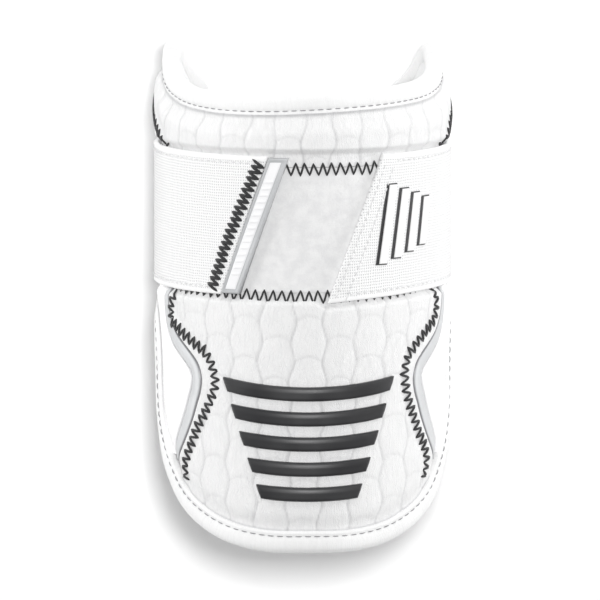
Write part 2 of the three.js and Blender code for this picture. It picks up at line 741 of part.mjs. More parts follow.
const STRAP_MIDDLE = (STRAP_INNER + STRAP_OUTER) / 2;
const LIFT_ANGLE = WRAP_ANGLE - STRAP_LIFT_ANGLE;
const BEND_CENTRE = place(LIFT_ANGLE, 0, STRAP_MIDDLE - STRAP_BEND_RADIUS);

const rightEndAngle = (share) => lerp(RIGHT_END_LOW_ANGLE, RIGHT_END_HIGH_ANGLE, share);
const leftEndAngle = (share) => lerp(LEFT_END_LOW_ANGLE, LEFT_END_HIGH_ANGLE, share);

// The strap runs from its right front end round the back to its left front end. It lies on the cuff, bends
// round each rear edge and is straight across the open back.
function elasticStrap() {
  const bendPoint = (side, angle, height, out) => {
    const arc = place(angle, 0, STRAP_BEND_RADIUS + out);
    return new THREE.Vector3(side * (BEND_CENTRE.x + arc.x), height, BEND_CENTRE.z + arc.z);
  };
  const shares = Array.from({ length: STRAP_ROWS + 1 }, (_, j) => j / STRAP_ROWS);
  const column = (pointAt) => shares.map((up) => pointAt(up, lerp(STRAP_LOW, STRAP_HIGH, up)));
  const face = (out) => {
    const grid = [];
    for (let k = 0; k < STRAP_STEPS; k++) {
      const share = k / STRAP_STEPS;
      grid.push(
        column((up, height) => {
          const angle = lerp(rightEndAngle(up), LIFT_ANGLE, share);
          const foot = strapFoot(Math.max(angle, RIGHT_END_LOW_ANGLE));
          return place(angle, height - (STRAP_LOW - foot) * (1 - up), STRAP_MIDDLE + out);
        }),
      );
    }
    for (let k = 0; k <= BEND_STEPS; k++) {
      const angle = lerp(LIFT_ANGLE, 180, k / BEND_STEPS);
      grid.push(column((_, height) => bendPoint(1, angle, height, out)));
    }
    for (let k = BEND_STEPS; k >= 0; k--) {
      const angle = lerp(LIFT_ANGLE, 180, k / BEND_STEPS);
      grid.push(column((_, height) => bendPoint(-1, angle, height, out)));
    }
    for (let k = 1; k <= STRAP_STEPS; k++) {
      const share = k / STRAP_STEPS;
      grid.push(
        column((up, height) => {
          const angle = lerp(-LIFT_ANGLE, leftEndAngle(up), share);
          return place(angle, height, STRAP_MIDDLE + out);
        }),
      );
    }
    return grid;
  };
  return shellGeometry(face(STRAP_THICKNESS / 2), face(-STRAP_THICKNESS / 2));
}

// The tab closes the strap's left end and follows its slant.
function pullTab() {
  const shareOf = (height) => (height - STRAP_LOW) / STRAP_WIDTH;
  const edge = (shift) =>
    Array.from({ length: TAB_ROWS + 1 }, (_, j) => {
      const height = lerp(STRAP_LOW + TAB_MARGIN, STRAP_HIGH - TAB_MARGIN, j / TAB_ROWS);
      return { angle: leftEndAngle(shareOf(height)) + shift / MM_PER_DEGREE, height };
    });
  const near = edge(SEAM_GAP);
  const far = edge(SEAM_GAP + TAB_WIDTH);
  const grid = [near, near.map((p, j) => between(p, far[j], 0.5)), far];
  return panelGeometry(
    grid,
    () => STRAP_INNER + TAB_THICKNESS,
    () => STRAP_INNER,
  );
}

// A raised bar from a grid of flat points. The points marked edge lie lower by the bevel.
function raisedBar(columns, base, thickness, bevel) {
  const face = (p) => base + (p.edge ? thickness - bevel : thickness);
  const lay = (rule) => columns.map((column) => column.map((p) => place(p.angle, p.height, rule(p))));
  return shellGeometry(
    lay(face),
    lay(() => base),
  );
}

// Places from edge to edge of a bar, with a narrow bevel at each end.
function bevelSteps(length, bevel, inner) {
  const steps = [{ at: -length / 2, edge: true }];
  for (let k = 0; k <= inner; k++) {
    steps.push({ at: lerp(-length / 2 + bevel, length / 2 - bevel, k / inner), edge: false });
  }
  steps.push({ at: length / 2, edge: true });
  return steps;
}

// A rib hangs in a shallow curve like the end of the tongue; the lower ribs are shorter.
function impactRib(order) {
  const halfWidth = RIB_TOP_HALF_WIDTH - RIB_STEP_IN * order;
  const middle = RIB_LOWEST + RIB_PITCH * (RIB_COUNT - 1 - order);
  const columns = bevelSteps(2 * halfWidth, RIB_BEVEL, RIB_STEPS).map((across) =>
    bevelSteps(RIB_HEIGHT, RIB_BEVEL, 1).map((up) => ({
      angle: across.at / MM_PER_DEGREE,
      height: middle + up.at + RIB_SAG * ((across.at / RIB_TOP_HALF_WIDTH) ** 2 - 0.5),
      edge: across.edge || up.edge,
    })),
  );
  return raisedBar(columns, QUILT_OUTER + FIT_GAP, RIB_THICKNESS, RIB_BEVEL);
}

function strapBar(order) {
  const middleAngle = BAR_FIRST_ANGLE + (order * BAR_PITCH) / MM_PER_DEGREE;
  const middle = STRAP_LOW + STRAP_WIDTH / 2;
  const length = BAR_LENGTH - 2 * BAR_STEP_IN * order;
  const columns = bevelSteps(BAR_WIDTH, BAR_BEVEL, 1).map((across) =>
    bevelSteps(length, BAR_BEVEL, 1).map((up) => ({
      angle: middleAngle + across.at / MM_PER_DEGREE,
      height: middle + up.at,
      edge: across.edge || up.edge,
    })),
  );
  return raisedBar(columns, STRAP_OUTER + FIT_GAP, BAR_THICKNESS, BAR_BEVEL);
}

const finish = (color, roughness) => new THREE.MeshStandardMaterial({ color, roughness, metalness: 0 });
const WHITE_KNIT = finish(0xf2f2f0, 0.9);
const WHITE_BINDING = finish(0xf4f4f3, 0.85);
const WHITE_LINING = finish(0xeeeeec, 0.95);
const GLOSS_WHITE = finish(0xfafafa, 0.25);
const GREY_TRIM = finish(0xc6c8ca, 0.5);
const BRUSHED_LOOP = finish(0xe6e6e4, 1);
const WHITE_ELASTIC = finish(0xf0f0ee, 0.9);
const SILVER_GREY = finish(0xbfc1c3, 0.4);
const BLACK_RUBBER = finish(0x2b2b2d, 0.55);
const WHITE_RUBBER = finish(0xf6f6f5, 0.6);

const guard = new THREE.Group();

function add(name, geometry, material) {
  const mesh = new THREE.Mesh(geometry, material);
  mesh.name = name;
  guard.add(mesh);
}

add("pad_shell", padShell(), WHITE_LINING);
add("edge_binding", edgeBinding(), WHITE_BINDING);
add("upper_quilt", upperQuilt(), WHITE_KNIT);
add("lower_quilt", lowerQuilt(), WHITE_KNIT);
for (const [label, side] of [["left", -1], ["right", 1]]) {
  add(`side_shield_${label}`, sideShield(side), GLOSS_WHITE);
  add(`wing_panel_${label}`, wingPanel(side), WHITE_KNIT);
  add(`trim_band_${label}`, trimBand(side), GREY_TRIM);
}
add("loop_patch", loopPatch(), BRUSHED_LOOP);
add("elastic_strap", elasticStrap(), WHITE_ELASTIC);
add("pull_tab", pullTab(), SILVER_GREY);
for (let order = 0; order < RIB_COUNT; order++) {
  add(`impact_rib_${order + 1}`, impactRib(order), BLACK_RUBBER);
}
for (let order = 0; order < BAR_COUNT; order++) {
  add(`strap_bar_${order + 1}`, strapBar(order), WHITE_RUBBER);
}

// The guard rests on z = 0 with the middle of its outline over the origin.
const box = new THREE.Box3().setFromObject(guard);
const middle = box.getCenter(new THREE.Vector3());
guard.position.set(-middle.x, -middle.y, -box.min.z);

const elbowGuard = new THREE.Group();
elbowGuard.add(guard);

export default elbowGuard;
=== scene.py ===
import math

import bpy
import numpy as np
from mathutils import Matrix, Vector


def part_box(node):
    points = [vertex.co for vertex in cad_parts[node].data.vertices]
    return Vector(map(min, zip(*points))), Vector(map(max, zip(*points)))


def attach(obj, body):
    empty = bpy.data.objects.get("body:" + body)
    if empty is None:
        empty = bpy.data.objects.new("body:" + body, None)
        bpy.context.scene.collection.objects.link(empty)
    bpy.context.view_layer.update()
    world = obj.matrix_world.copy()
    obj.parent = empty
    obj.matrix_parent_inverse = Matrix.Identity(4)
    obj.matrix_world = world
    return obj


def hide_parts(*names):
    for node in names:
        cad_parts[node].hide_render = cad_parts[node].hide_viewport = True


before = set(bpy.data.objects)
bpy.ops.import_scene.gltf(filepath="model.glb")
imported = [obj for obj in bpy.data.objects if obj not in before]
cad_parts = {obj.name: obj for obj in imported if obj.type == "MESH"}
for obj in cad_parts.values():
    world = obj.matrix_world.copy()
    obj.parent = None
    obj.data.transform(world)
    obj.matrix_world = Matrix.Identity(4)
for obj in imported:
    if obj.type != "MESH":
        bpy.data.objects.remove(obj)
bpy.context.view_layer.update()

# Elbow guard: its cloth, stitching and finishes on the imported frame.
# A point on the guard is given as a flat place (mm round the arm at the quilt's face, mm above the tip of the
# tongue) and a radius from the arm's axis in mm. Every flat place has the front centre at 0.

TONGUE_REACH = 98.3
STRAP_WIDTH = 53.5
COLLAR_RISE = 37
RIM_LEAN = 1.2
ARM_RADIUS = 46.8
WRAP_ANGLE = 137
FOAM_THICKNESS = 6
QUILT_THICKNESS = 4
FIT_GAP = 0.3
SEAM_GAP = 0.5
TONGUE_BINDING_WIDTH = 8.6
COLLAR_BINDING_WIDTH = 7.8
BINDING_THICKNESS = 7
RIM_INSET = 3.4
TONGUE_INSET = 0.2
PINCH_WIDTH = 9
TONGUE_STEP = 1.5
COLLAR_STEP = 0.5
PANEL_HALF_ANGLE = 66
PANEL_FOOT_ANGLE = 59.5
TRIM_WIDTH = 4.9
TRIM_INSET = 0.3
SHIELD_INSET = 0.6
SHIELD_FOOT = 0.4
SHIELD_REAR_ANGLE = 112
UPPER_SEAM_LOW_ANGLE = 71
UPPER_SEAM_HIGH_ANGLE = 106
PATCH_THICKNESS = 1.6
PATCH_HALF_ANGLE = 60
PATCH_MARGIN_LOW = 1
PATCH_MARGIN_HIGH = 4.4
STRAP_THICKNESS = 2
STRAP_BEND_RADIUS = 9
STRAP_LIFT_ANGLE = 5
STRAP_RAMP = 3.2
RIGHT_END_ANGLES = (6.9, 30)
LEFT_END_ANGLES = (-36.2, -16)
TIP_DROP = 2.7
TIP_DROP_REACH = 62
TIP_EDGE_ANGLE = 5
TAB_WIDTH = 7.7
TAB_THICKNESS = 2.6
TAB_MARGIN = 0.6
RIB_COUNT = 5
RIB_HEIGHT = 5.4
RIB_THICKNESS = 1.7
RIB_PITCH = 9.6
RIB_LOWEST = 24.3
RIB_TOP_HALF_WIDTH = 33
RIB_STEP_IN = 3.4
RIB_SAG = 3
BAR_COUNT = 4
BAR_WIDTH = 3.4
BAR_PITCH = 6.5
BAR_FIRST_ANGLE = 32
BAR_LENGTH = 30
BAR_STEP_IN = 2
BAR_THICKNESS = 1

# Angle as a share of WRAP_ANGLE, height as a share of TONGUE_REACH.
TONGUE_EDGE = [
    (0, 0), (0.131, 0.003), (0.249, 0.031), (0.364, 0.094), (0.444, 0.164), (0.497, 0.234), (0.543, 0.307),
    (0.589, 0.391), (0.624, 0.489), (0.639, 0.601), (0.646, 0.699), (0.664, 0.793), (0.73, 0.908),
    (0.861, 0.97), (0.96, 1.015),
]
# Angle as a share of WRAP_ANGLE, height above the strap's lower edge as a share of STRAP_WIDTH.
REAR_EDGE = [(1, 0.2), (1, 0.6), (0.997, 1)]
# Angle as a share of WRAP_ANGLE, height above the strap as a share of COLLAR_RISE.
COLLAR_EDGE = [
    (0.985, 0.38), (0.96, 0.52), (0.9, 0.65), (0.845, 0.78), (0.775, 0.96), (0.715, 1), (0.66, 0.93),
    (0.615, 0.84), (0.56, 0.765), (0.5, 0.72), (0.42, 0.675), (0.29, 0.645), (0.14, 0.635), (0, 0.635),
]
# The trim's middle line: height as a share of TONGUE_REACH, angle as a share of PANEL_HALF_ANGLE, width as a
# share of TRIM_WIDTH.
SIDE_CURVE = [
    (0.33, 0.935, 0.35), (0.375, 0.914, 0.75), (0.42, 0.88, 0.95), (0.47, 0.838, 1), (0.52, 0.8, 1),
    (0.575, 0.768, 1), (0.62, 0.742, 1), (0.66, 0.734, 1), (0.7, 0.752, 1), (0.73, 0.795, 1),
    (0.765, 0.866, 1), (0.8, 0.938, 1), (0.835, 0.987, 0.95), (0.875, 1.023, 0.9), (0.92, 1.045, 0.85),
    (0.964, 1.055, 0.8),
]
# Zigzag seams of the tongue's panel, from the top down: angle, height in mm.
ZIGZAG_LEFT = [
    (-62.6, 96.6), (-64.1, 93.4), (-65.3, 89.4), (-64.1, 85.7), (-58.9, 83.2), (-53.8, 80.6), (-48.0, 78.1),
    (-43.3, 75.5), (-40.7, 72.6), (-39.4, 69.6), (-38.5, 66.7), (-38.2, 63.6), (-38.9, 60.5), (-40.9, 57.3),
    (-42.8, 53.3), (-45.9, 49.2), (-48.6, 45.1), (-50.0, 41.2), (-52.6, 37.1), (-54.4, 33.1), (-55.6, 29.2),
    (-55.6, 25.3),
]
ZIGZAG_RIGHT = [
    (61.2, 98.3), (60.9, 95.2), (61.8, 91.3), (60.4, 87.6), (57.9, 84.8), (52.9, 82.3), (49.0, 79.6),
    (44.5, 76.1), (41.8, 73.3), (41.0, 70.3), (40.5, 66.5), (41.2, 62.6), (42.1, 58.0), (44.3, 53.2),
    (46.6, 48.4), (49.0, 43.6), (52.2, 38.7), (54.0, 33.9), (53.5, 29.4), (52.2, 25.7),
]
# Side seams of the upper panel, from the strap up.
UPPER_ZIGZAG_LEFT = [(-72.8, 151.6), (-74.6, 153.7), (-80.3, 157.6), (-88, 161.7), (-96, 166), (-101, 169)]
UPPER_ZIGZAG_RIGHT = [(71.6, 150.2), (73.3, 152.1), (79.2, 158.3), (87.5, 162.4), (96, 166.6), (101, 169.4)]
# Lower points of the zigzag along the patch's foot.
PATCH_FOOT = [
    (-60, 97.1), (-58, 96.9), (-38, 96.2), (0, 95.5), (22, 95.8), (38, 96.2), (51, 97.7), (58, 98.4),
]

FOAM_OUTER = ARM_RADIUS + FOAM_THICKNESS
PANEL_INNER = FOAM_OUTER + FIT_GAP
QUILT_OUTER = PANEL_INNER + QUILT_THICKNESS
PATCH_OUTER = PANEL_INNER + PATCH_THICKNESS
STRAP_INNER = PATCH_OUTER + FIT_GAP
STRAP_OUTER = STRAP_INNER + STRAP_THICKNESS
STRAP_LOW = TONGUE_REACH
STRAP_HIGH = STRAP_LOW + STRAP_WIDTH
STRAP_CENTRE = STRAP_LOW + STRAP_WIDTH / 2
PATCH_LOW = STRAP_LOW + PATCH_MARGIN_LOW
PATCH_HIGH = STRAP_HIGH - PATCH_MARGIN_HIGH
MM_PER_DEGREE = math.radians(QUILT_OUTER)

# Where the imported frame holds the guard: the arm's axis in X and Z, and the tip of the tongue in Y.
strap_low, strap_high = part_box("elastic_strap")
foam_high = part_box("pad_shell")[1]
AXIS_X = (strap_low.x + strap_high.x) * 500
AXIS_Z = foam_high.z * 1000 - FOAM_OUTER
TIP_Y = strap_high.y * 1000 - STRAP_HIGH


def smoothstep(value, low, high):
    share = np.clip((value - low) / (high - low), 0, 1)
    return share * share * (3 - 2 * share)


def mix(a, b, share):
    return a + (b - a) * share


def place(flat, radius):
    """Points in metres from flat places (..., 2) and radii."""
    turn = np.radians(flat[..., 0] / MM_PER_DEGREE)
    radius = np.broadcast_to(radius, turn.shape)
    return np.stack(
        [AXIS_X + radius * np.sin(turn), TIP_Y + flat[..., 1], AXIS_Z + radius * np.cos(turn)], -1
    ) / 1000


def at_angle(rows):
    """Flat places from rows of (angle, height)."""
    return np.array([(angle * MM_PER_DEGREE, height) for angle, height in rows], float)


def spline(points, per_span, closed=False):
    """Centripetal Catmull-Rom line through the points."""
    points = np.asarray(points, float)
    if closed:
        padded = np.concatenate([points[-1:], points, points[:2]])
    else:
        padded = np.concatenate([2 * points[:1] - points[1:2], points, 2 * points[-1:] - points[-2:-1]])
    shares = np.arange(per_span) / per_span
    line = []
    for a, b, c, d in zip(padded, padded[1:], padded[2:], padded[3:]):
        t0, t1, t2 = (max(np.sqrt(np.linalg.norm(q - p)), 1e-4) for p, q in ((a, b), (b, c), (c, d)))
        m1 = ((b - a) / t0 - (c - a) / (t0 + t1) + (c - b) / t1) * t1
        m2 = ((c - b) / t1 - (d - b) / (t1 + t2) + (d - c) / t2) * t1
        s = shares[:, None]
        line.append(b + m1 * s + (3 * (c - b) - 2 * m1 - m2) * s**2 + (2 * (b - c) + m1 + m2) * s**3)
    if not closed:
        line.append(points[-1:])
    return np.concatenate(line)


def lengths(line):
    return np.concatenate([[0], np.cumsum(np.linalg.norm(np.diff(line, axis=0), axis=1))])


def ring_of(line):
    return np.concatenate([line, line[:1]])


def unit(rows):
    return rows / np.linalg.norm(rows, axis=1, keepdims=True)


def square_to(run):
    """Directions square to the given ones, a quarter turn to the left."""
    return np.stack([-run[:, 1], run[:, 0]], 1)


def bell(distance, width):
    """1 at no distance, falling to nothing a few widths away."""
    return np.exp(-((distance / width) ** 2))


def from_ends(share):
    """Share of the way from the nearer end."""
    return np.minimum(share, 1 - share)


def along(line, shares):
    """Places at shares of a line's length."""
    reach = lengths(line)
    wanted = np.asarray(shares) * reach[-1]
    return np.stack([np.interp(wanted, reach, line[:, k]) for k in range(line.shape[1])], 1)


def mirrored(line):
    return line * [-1, 1]


def rim_line():
    """The pad's rim as a closed line: along the tongue from its left end, up, and back along the collar."""
    low = at_angle([(r * WRAP_ANGLE, u * TONGUE_REACH) for r, u in TONGUE_EDGE])
    rear = at_angle([(r * WRAP_ANGLE, STRAP_LOW + u * STRAP_WIDTH) for r, u in REAR_EDGE])
    high = at_angle([(r * WRAP_ANGLE, STRAP_HIGH + u * COLLAR_RISE) for r, u in COLLAR_EDGE])
    collar = np.concatenate([high, mirrored(high[:-1])[::-1]])
    collar[:, 1] += RIM_LEAN * np.sin(np.radians(2 * collar[:, 0] / MM_PER_DEGREE))
    return np.concatenate([mirrored(low[1:])[::-1], low, rear, collar, mirrored(rear)[::-1]])


RIM_STATIONS = 900
rim = spline(rim_line(), 24, closed=True)
rim = along(ring_of(rim), np.arange(RIM_STATIONS) / RIM_STATIONS)
RIM_INWARD = square_to(unit(np.roll(rim, -4, 0) - np.roll(rim, 4, 0)))


def above_tongue(height):
    """From 0 along the tongue to 1 from the strap upward."""
    return smoothstep(height, STRAP_LOW - 2 * PINCH_WIDTH, STRAP_LOW)


def binding_width(height):
    return mix(TONGUE_BINDING_WIDTH, COLLAR_BINDING_WIDTH, above_tongue(height))


def moved_inward(share, further=0.0):
    """The rim moved inward in the surface by a share of the binding's width and some mm further."""
    return rim + (share * binding_width(rim[:, 1]) + further)[:, None] * RIM_INWARD


def rim_half(line, on_tongue):
    """The tongue's half of a line along the rim, or else the collar's, from left to right."""
    part = line[(line[:, 1] < STRAP_CENTRE) == on_tongue]
    return part[np.argsort(part[:, 0])]


def between_halves(line, places, upward):
    """Grid of flat places from the tongue's half of a line along the rim to the collar's."""
    low, high = (np.interp(places, *rim_half(line, on_tongue).T)[:, None] for on_tongue in (True, False))
    return grid_of(places[:, None], mix(low, high, upward[None]))


def edge_distance(flat, line):
    """Distance in mm from flat places to a line."""
    places = flat.reshape(-1, 2)
    nearest = np.full(len(places), np.inf)
    for start, end in zip(line[:-1], line[1:]):
        leg = end - start
        share = np.clip(((places - start) @ leg) / max(leg @ leg, 1e-9), 0, 1)
        nearest = np.minimum(nearest, np.linalg.norm(places - start - share[:, None] * leg, axis=1))
    return nearest.reshape(flat.shape[:-1])


TUCK = 0.5  # cloth runs this far under the binding
tucked_rim = moved_inward(1, -TUCK)
seam_ring = ring_of(moved_inward(1, FIT_GAP + SEAM_GAP))[::3]
inner_ring = ring_of(moved_inward(1))[::3]


def rim_stretch(on_tongue, low_angle, high_angle):
    """Part of the tucked rim between two angles, on the tongue or else on the collar."""
    part = rim_half(tucked_rim, on_tongue)
    low, high = low_angle * MM_PER_DEGREE, high_angle * MM_PER_DEGREE
    ends = [np.array([a, np.interp(a, part[:, 0], part[:, 1])]) for a in (low, high)]
    inner = part[(part[:, 0] > low) & (part[:, 0] < high)]
    return np.concatenate([ends[:1], inner, ends[1:]])


def binding_face(height):
    return QUILT_OUTER - mix(TONGUE_INSET, RIM_INSET, above_tongue(height))


def strap_foot(angle):
    """Height of the strap's lower edge, which hangs a little at the right end's lower corner."""
    corner = RIGHT_END_ANGLES[0]
    hang = np.clip(1 - (angle - corner) / TIP_DROP_REACH, 0, 1) ** 2
    return STRAP_LOW - TIP_DROP * hang * smoothstep(angle, corner - TIP_EDGE_ANGLE, corner)


def cover_radius(flat):
    """Face of the dressed padding: pinched at the binding and pressed down under the strap."""
    height = flat[..., 1]
    depth = edge_distance(flat, seam_ring)
    seam = binding_face(height) - mix(TONGUE_STEP, COLLAR_STEP, above_tongue(height))
    swollen = mix(seam, QUILT_OUTER, np.sin(smoothstep(depth, -1, PINCH_WIDTH) * np.pi / 2))
    pressed = np.minimum(swollen, PATCH_OUTER - 0.1)
    foot = strap_foot(flat[..., 0] / MM_PER_DEGREE)
    below = smoothstep(height, foot - STRAP_RAMP, foot - FIT_GAP)
    above = smoothstep(height, STRAP_HIGH + FIT_GAP, STRAP_HIGH + STRAP_RAMP)
    return mix(swollen, pressed, below * (1 - above))


def grid_of(across, upward):
    """Grid of flat places from places round the arm and heights that spread over each other."""
    return np.stack(np.broadcast_arrays(across, upward), -1)


def fill(low, high, left, right, across, upward):
    """Grid of flat places between four lines that share their corners."""
    u, v = across[:, None, None], upward[None, :, None]
    corners = (1 - u) * (1 - v) * low[0] + u * (1 - v) * low[-1] + (1 - u) * v * high[0] + u * v * high[-1]
    rows = (1 - v) * along(low, across)[:, None] + v * along(high, across)[:, None]
    columns = (1 - u) * along(left, upward)[None] + u * along(right, upward)[None]
    return rows + columns - corners


def shares(count, length, roll=0.8):
    """Shares from 0 to 1, close together beside both ends so that a rolled edge comes out round."""
    near = np.array([0, 0.06, 0.18, 0.36, 0.62, 1]) * roll / length
    return np.concatenate([near[:-1], np.linspace(near[-1], 1 - near[-1], count), (1 - near[:-1])[::-1]])


def rolled(distance, roll):
    """Drop of a rolled edge of that radius, from 1 at the edge to 0 one radius in."""
    return 1 - np.sqrt(1 - (1 - np.clip(distance / roll, 0, 1)) ** 2)


def stand(name, data):
    """Puts an object with this data into the scene."""
    thing = bpy.data.objects.new(name, data)
    bpy.context.collection.objects.link(thing)
    return thing


def mesh_piece(name, points, faces, lay, material):
    """A mesh with its flat places kept as the attribute "lay", in mm."""
    mesh = bpy.data.meshes.new(name)
    mesh.from_pydata(points.tolist(), [], faces)
    mesh.polygons.foreach_set("use_smooth", np.ones(len(mesh.polygons), bool))
    attribute = mesh.attributes.new("lay", "FLOAT_VECTOR", "POINT")
    attribute.data.foreach_set("vector", lay.astype(np.float32).ravel())
    mesh.materials.append(material)
    mesh.update()
    return stand(name, mesh)


def grid_faces(columns, rows, start=0, ring_of_columns=False, ring_of_rows=False):
    """Faces between the points of a grid [column][row], which may close on itself either way."""
    i, j = np.meshgrid(
        np.arange(columns if ring_of_columns else columns - 1),
        np.arange(rows if ring_of_rows else rows - 1), indexing="ij",
    )
    at = lambda a, b: start + a % columns * rows + b % rows
    return np.stack([at(i, j), at(i + 1, j), at(i + 1, j + 1), at(i, j + 1)], -1).reshape(-1, 4)


def shell(name, outer, inner, lay, material):
    """Closed mesh between two grids of points [column][row]."""
    columns, rows = outer.shape[:2]
    front = grid_faces(columns, rows)
    back = grid_faces(columns, rows, columns * rows)[:, ::-1]
    ring = np.concatenate([
        np.arange(columns) * rows,
        (columns - 1) * rows + np.arange(1, rows),
        (np.arange(columns - 1)[::-1]) * rows + rows - 1,
        np.arange(1, rows - 1)[::-1],
    ])
    after = np.roll(ring, -1)
    rim_faces = np.stack([ring + columns * rows, after + columns * rows, after, ring], -1)
    places = np.tile(lay.reshape(-1, 3), (2, 1))
    points = np.concatenate([outer.reshape(-1, 3), inner.reshape(-1, 3)])
    return mesh_piece(name, points, np.concatenate([front, back, rim_faces]).tolist(), places, material)


def with_mark(flat, mark):
    """Flat places with a mark beside them for the material."""
    return np.concatenate([flat, np.broadcast_to(mark, flat.shape[:2])[..., None]], -1)


def panel(name, flat, face, base, material, mark=0.0):
    """A closed piece over a grid of flat places."""
    return shell(name, place(flat, face), place(flat, base), with_mark(flat, mark), material)


THREAD_SIDES = 6
THREAD_POINTS = 5
THREAD_END = 0.45  # thickness at a stitch's ends, as a share


def threads(name, paths, radius, material):
    """Round threads along paths of 3D points in metres, thinner at their ends."""
    points, faces, lay, start = [], [], [], 0
    turn = np.linspace(0, 2 * np.pi, THREAD_SIDES, endpoint=False)
    for number, path in enumerate(paths):
        count = len(path)
        run = unit(np.gradient(path, axis=0))
        out = path - np.array([AXIS_X / 1000, 0, AXIS_Z / 1000])
        out[:, 1] = 0
        side = unit(np.cross(run, out))
        up = np.cross(side, run)
        ring = side[:, None] * np.cos(turn)[None, :, None] + up[:, None] * np.sin(turn)[None, :, None]
        thin = np.ones(count)
        thin[[0, -1]] = THREAD_END
        points.append((path[:, None] + ring * (radius * thin)[:, None, None]).reshape(-1, 3))
        lay.append(np.stack([
            np.repeat(lengths(path) * 1000, THREAD_SIDES),
            np.tile(turn / (2 * np.pi), count),
            np.full(count * THREAD_SIDES, number),
        ], 1))
        faces += grid_faces(count, THREAD_SIDES, start, ring_of_rows=True)[:, [0, 3, 2, 1]].tolist()
        last = start + (count - 1) * THREAD_SIDES
        faces += [list(range(start, start + THREAD_SIDES))[::-1], list(range(last, last + THREAD_SIDES))]
        start += count * THREAD_SIDES
    return mesh_piece(name, np.concatenate(points), faces, np.concatenate(lay), material)


def stitch_run(line, radius_at, pitch, gap, lift):
    """Separate straight stitches along a flat line. radius_at gives the cloth's face."""
    count = max(1, round(lengths(line)[-1] / pitch))
    paths = []
    for k in range(count):
        start, end = (k + gap / 2) / count, (k + 1 - gap / 2) / count
        flat = along(line, np.linspace(start, end, THREAD_POINTS))
        arch = lift * np.sin(np.linspace(0.12, np.pi - 0.12, THREAD_POINTS))
        paths.append(place(flat, radius_at(flat) + arch - 0.3 * lift))
    return paths


def zigzag_run(line, radius_at, pitch, width, lift, seed):
    """Zigzag of separate legs across a flat line. pitch is the length of one leg along the line."""
    rng = np.random.default_rng(seed)
    count = round(lengths(line)[-1] / pitch)
    middle = along(line, np.linspace(0, 1, count + 1))
    run = unit(np.gradient(middle, axis=0))
    reach = width / 2 * np.where(np.arange(count + 1) % 2, 1, -1) * rng.uniform(0.9, 1.08, count + 1)
    corners = middle + square_to(run) * reach[:, None]
    corners = corners + run * rng.uniform(-0.12, 0.12, (count + 1, 1)) * pitch
    share = np.linspace(0, 1, THREAD_POINTS)
    bow = lift * np.sin(np.pi * share)
    paths = []
    for a, b in zip(corners, corners[1:]):
        flat = mix(a, b, share[:, None])
        paths.append(place(flat, radius_at(flat) + bow - 0.1 * lift))
    return paths


# Materials

def tree_adder(tree):
    """add(kind, settings, socket name or index = value or socket) puts one node into the tree."""
    def add(kind, settings=None, inputs=None):
        node = tree.nodes.new("ShaderNode" + kind)
        for key, value in (settings or {}).items():
            setattr(node, key, value)
        for key, value in (inputs or {}).items():
            if isinstance(value, bpy.types.NodeSocket):
                tree.links.new(value, node.inputs[key])
            else:
                node.inputs[key].default_value = value
        return node
    return add


def effect_group(name, inputs, outputs):
    """A shader node group with float, vector or colour sockets: names to (kind, value)."""
    tree = bpy.data.node_groups.new(name, "ShaderNodeTree")
    for key, (kind, value) in inputs.items():
        socket = tree.interface.new_socket(key, in_out="INPUT", socket_type="NodeSocket" + kind)
        if value is not None:
            socket.default_value = value
    for key, kind in outputs.items():
        tree.interface.new_socket(key, in_out="OUTPUT", socket_type="NodeSocket" + kind)
    add = tree_adder(tree)
    return tree, add, tree.nodes.new("NodeGroupInput").outputs, tree.nodes.new("NodeGroupOutput").inputs


def give(tree, result, outputs):
    """Links a group's results and returns the group."""
    for key, socket in outputs.items():
        tree.links.new(socket, result[key])
    return tree


def math_node(add, operation, a, b=0.0, c=0.0):
    return add("Math", {"operation": operation}, {0: a, 1: b, 2: c}).outputs[0]


def plus(add, a, b):
    return math_node(add, "ADD", a, b)


def times(add, a, b):
    return math_node(add, "MULTIPLY", a, b)


def wave(add, operation, turns):
    """The sine or cosine of so many turns."""
    return math_node(add, operation, times(add, turns, 2 * math.pi))


def noise(add, vector, scale, detail, roughness=0.5):
    inputs = {"Vector": vector, "Scale": scale, "Detail": detail, "Roughness": roughness}
    return add("TexNoise", {"noise_dimensions": "2D"}, inputs).outputs


def swing(add, value, reach):
    """Noise swung about nothing."""
    return times(add, math_node(add, "SUBTRACT", value, 0.5), reach)


def ramp(add, value, low, high, at_low=0.0, at_high=1.0, kind="LINEAR"):
    inputs = {0: value, 1: low, 2: high, 3: at_low, 4: at_high}
    return add("MapRange", {"interpolation_type": kind}, inputs).outputs[0]


def parts_of(add, vector):
    return add("SeparateXYZ", None, {0: vector}).outputs


def knit_group():
    """Rows of knitted loops: wales up the arm and courses across them, a little uneven."""
    tree, add, given, result = effect_group(
        "knit loops",
        {"Lay": ("Vector", None), **{key: ("Float", 0.5) for key in ("Wale", "Course", "Unevenness")}},
        {"Height": "Float", "Streak": "Float"},
    )
    split = parts_of(add, given["Lay"])
    across = plus(add, split[0], swing(add, noise(add, given["Lay"], 0.35, 3.0)[0], 3.0))
    wale = math_node(add, "DIVIDE", across, given["Wale"])
    course = math_node(add, "DIVIDE", split[1], given["Course"])
    lean = times(add, wave(add, "SINE", course), 0.9)
    rib = math_node(add, "SINE", plus(add, times(add, wale, 2 * math.pi), lean))
    drawn = {0: times(add, across, 1.6), 1: times(add, split[1], 0.13)}
    streak = noise(add, add("CombineXYZ", None, drawn).outputs[0], 0.9, 4.0, 0.65)[0]
    loops = math_node(add, "MULTIPLY_ADD", rib, 0.5, 0.5)
    uneven = times(add, swing(add, streak, given["Unevenness"]), 4.0)
    return give(tree, result, {"Height": plus(add, loops, uneven), "Streak": streak})


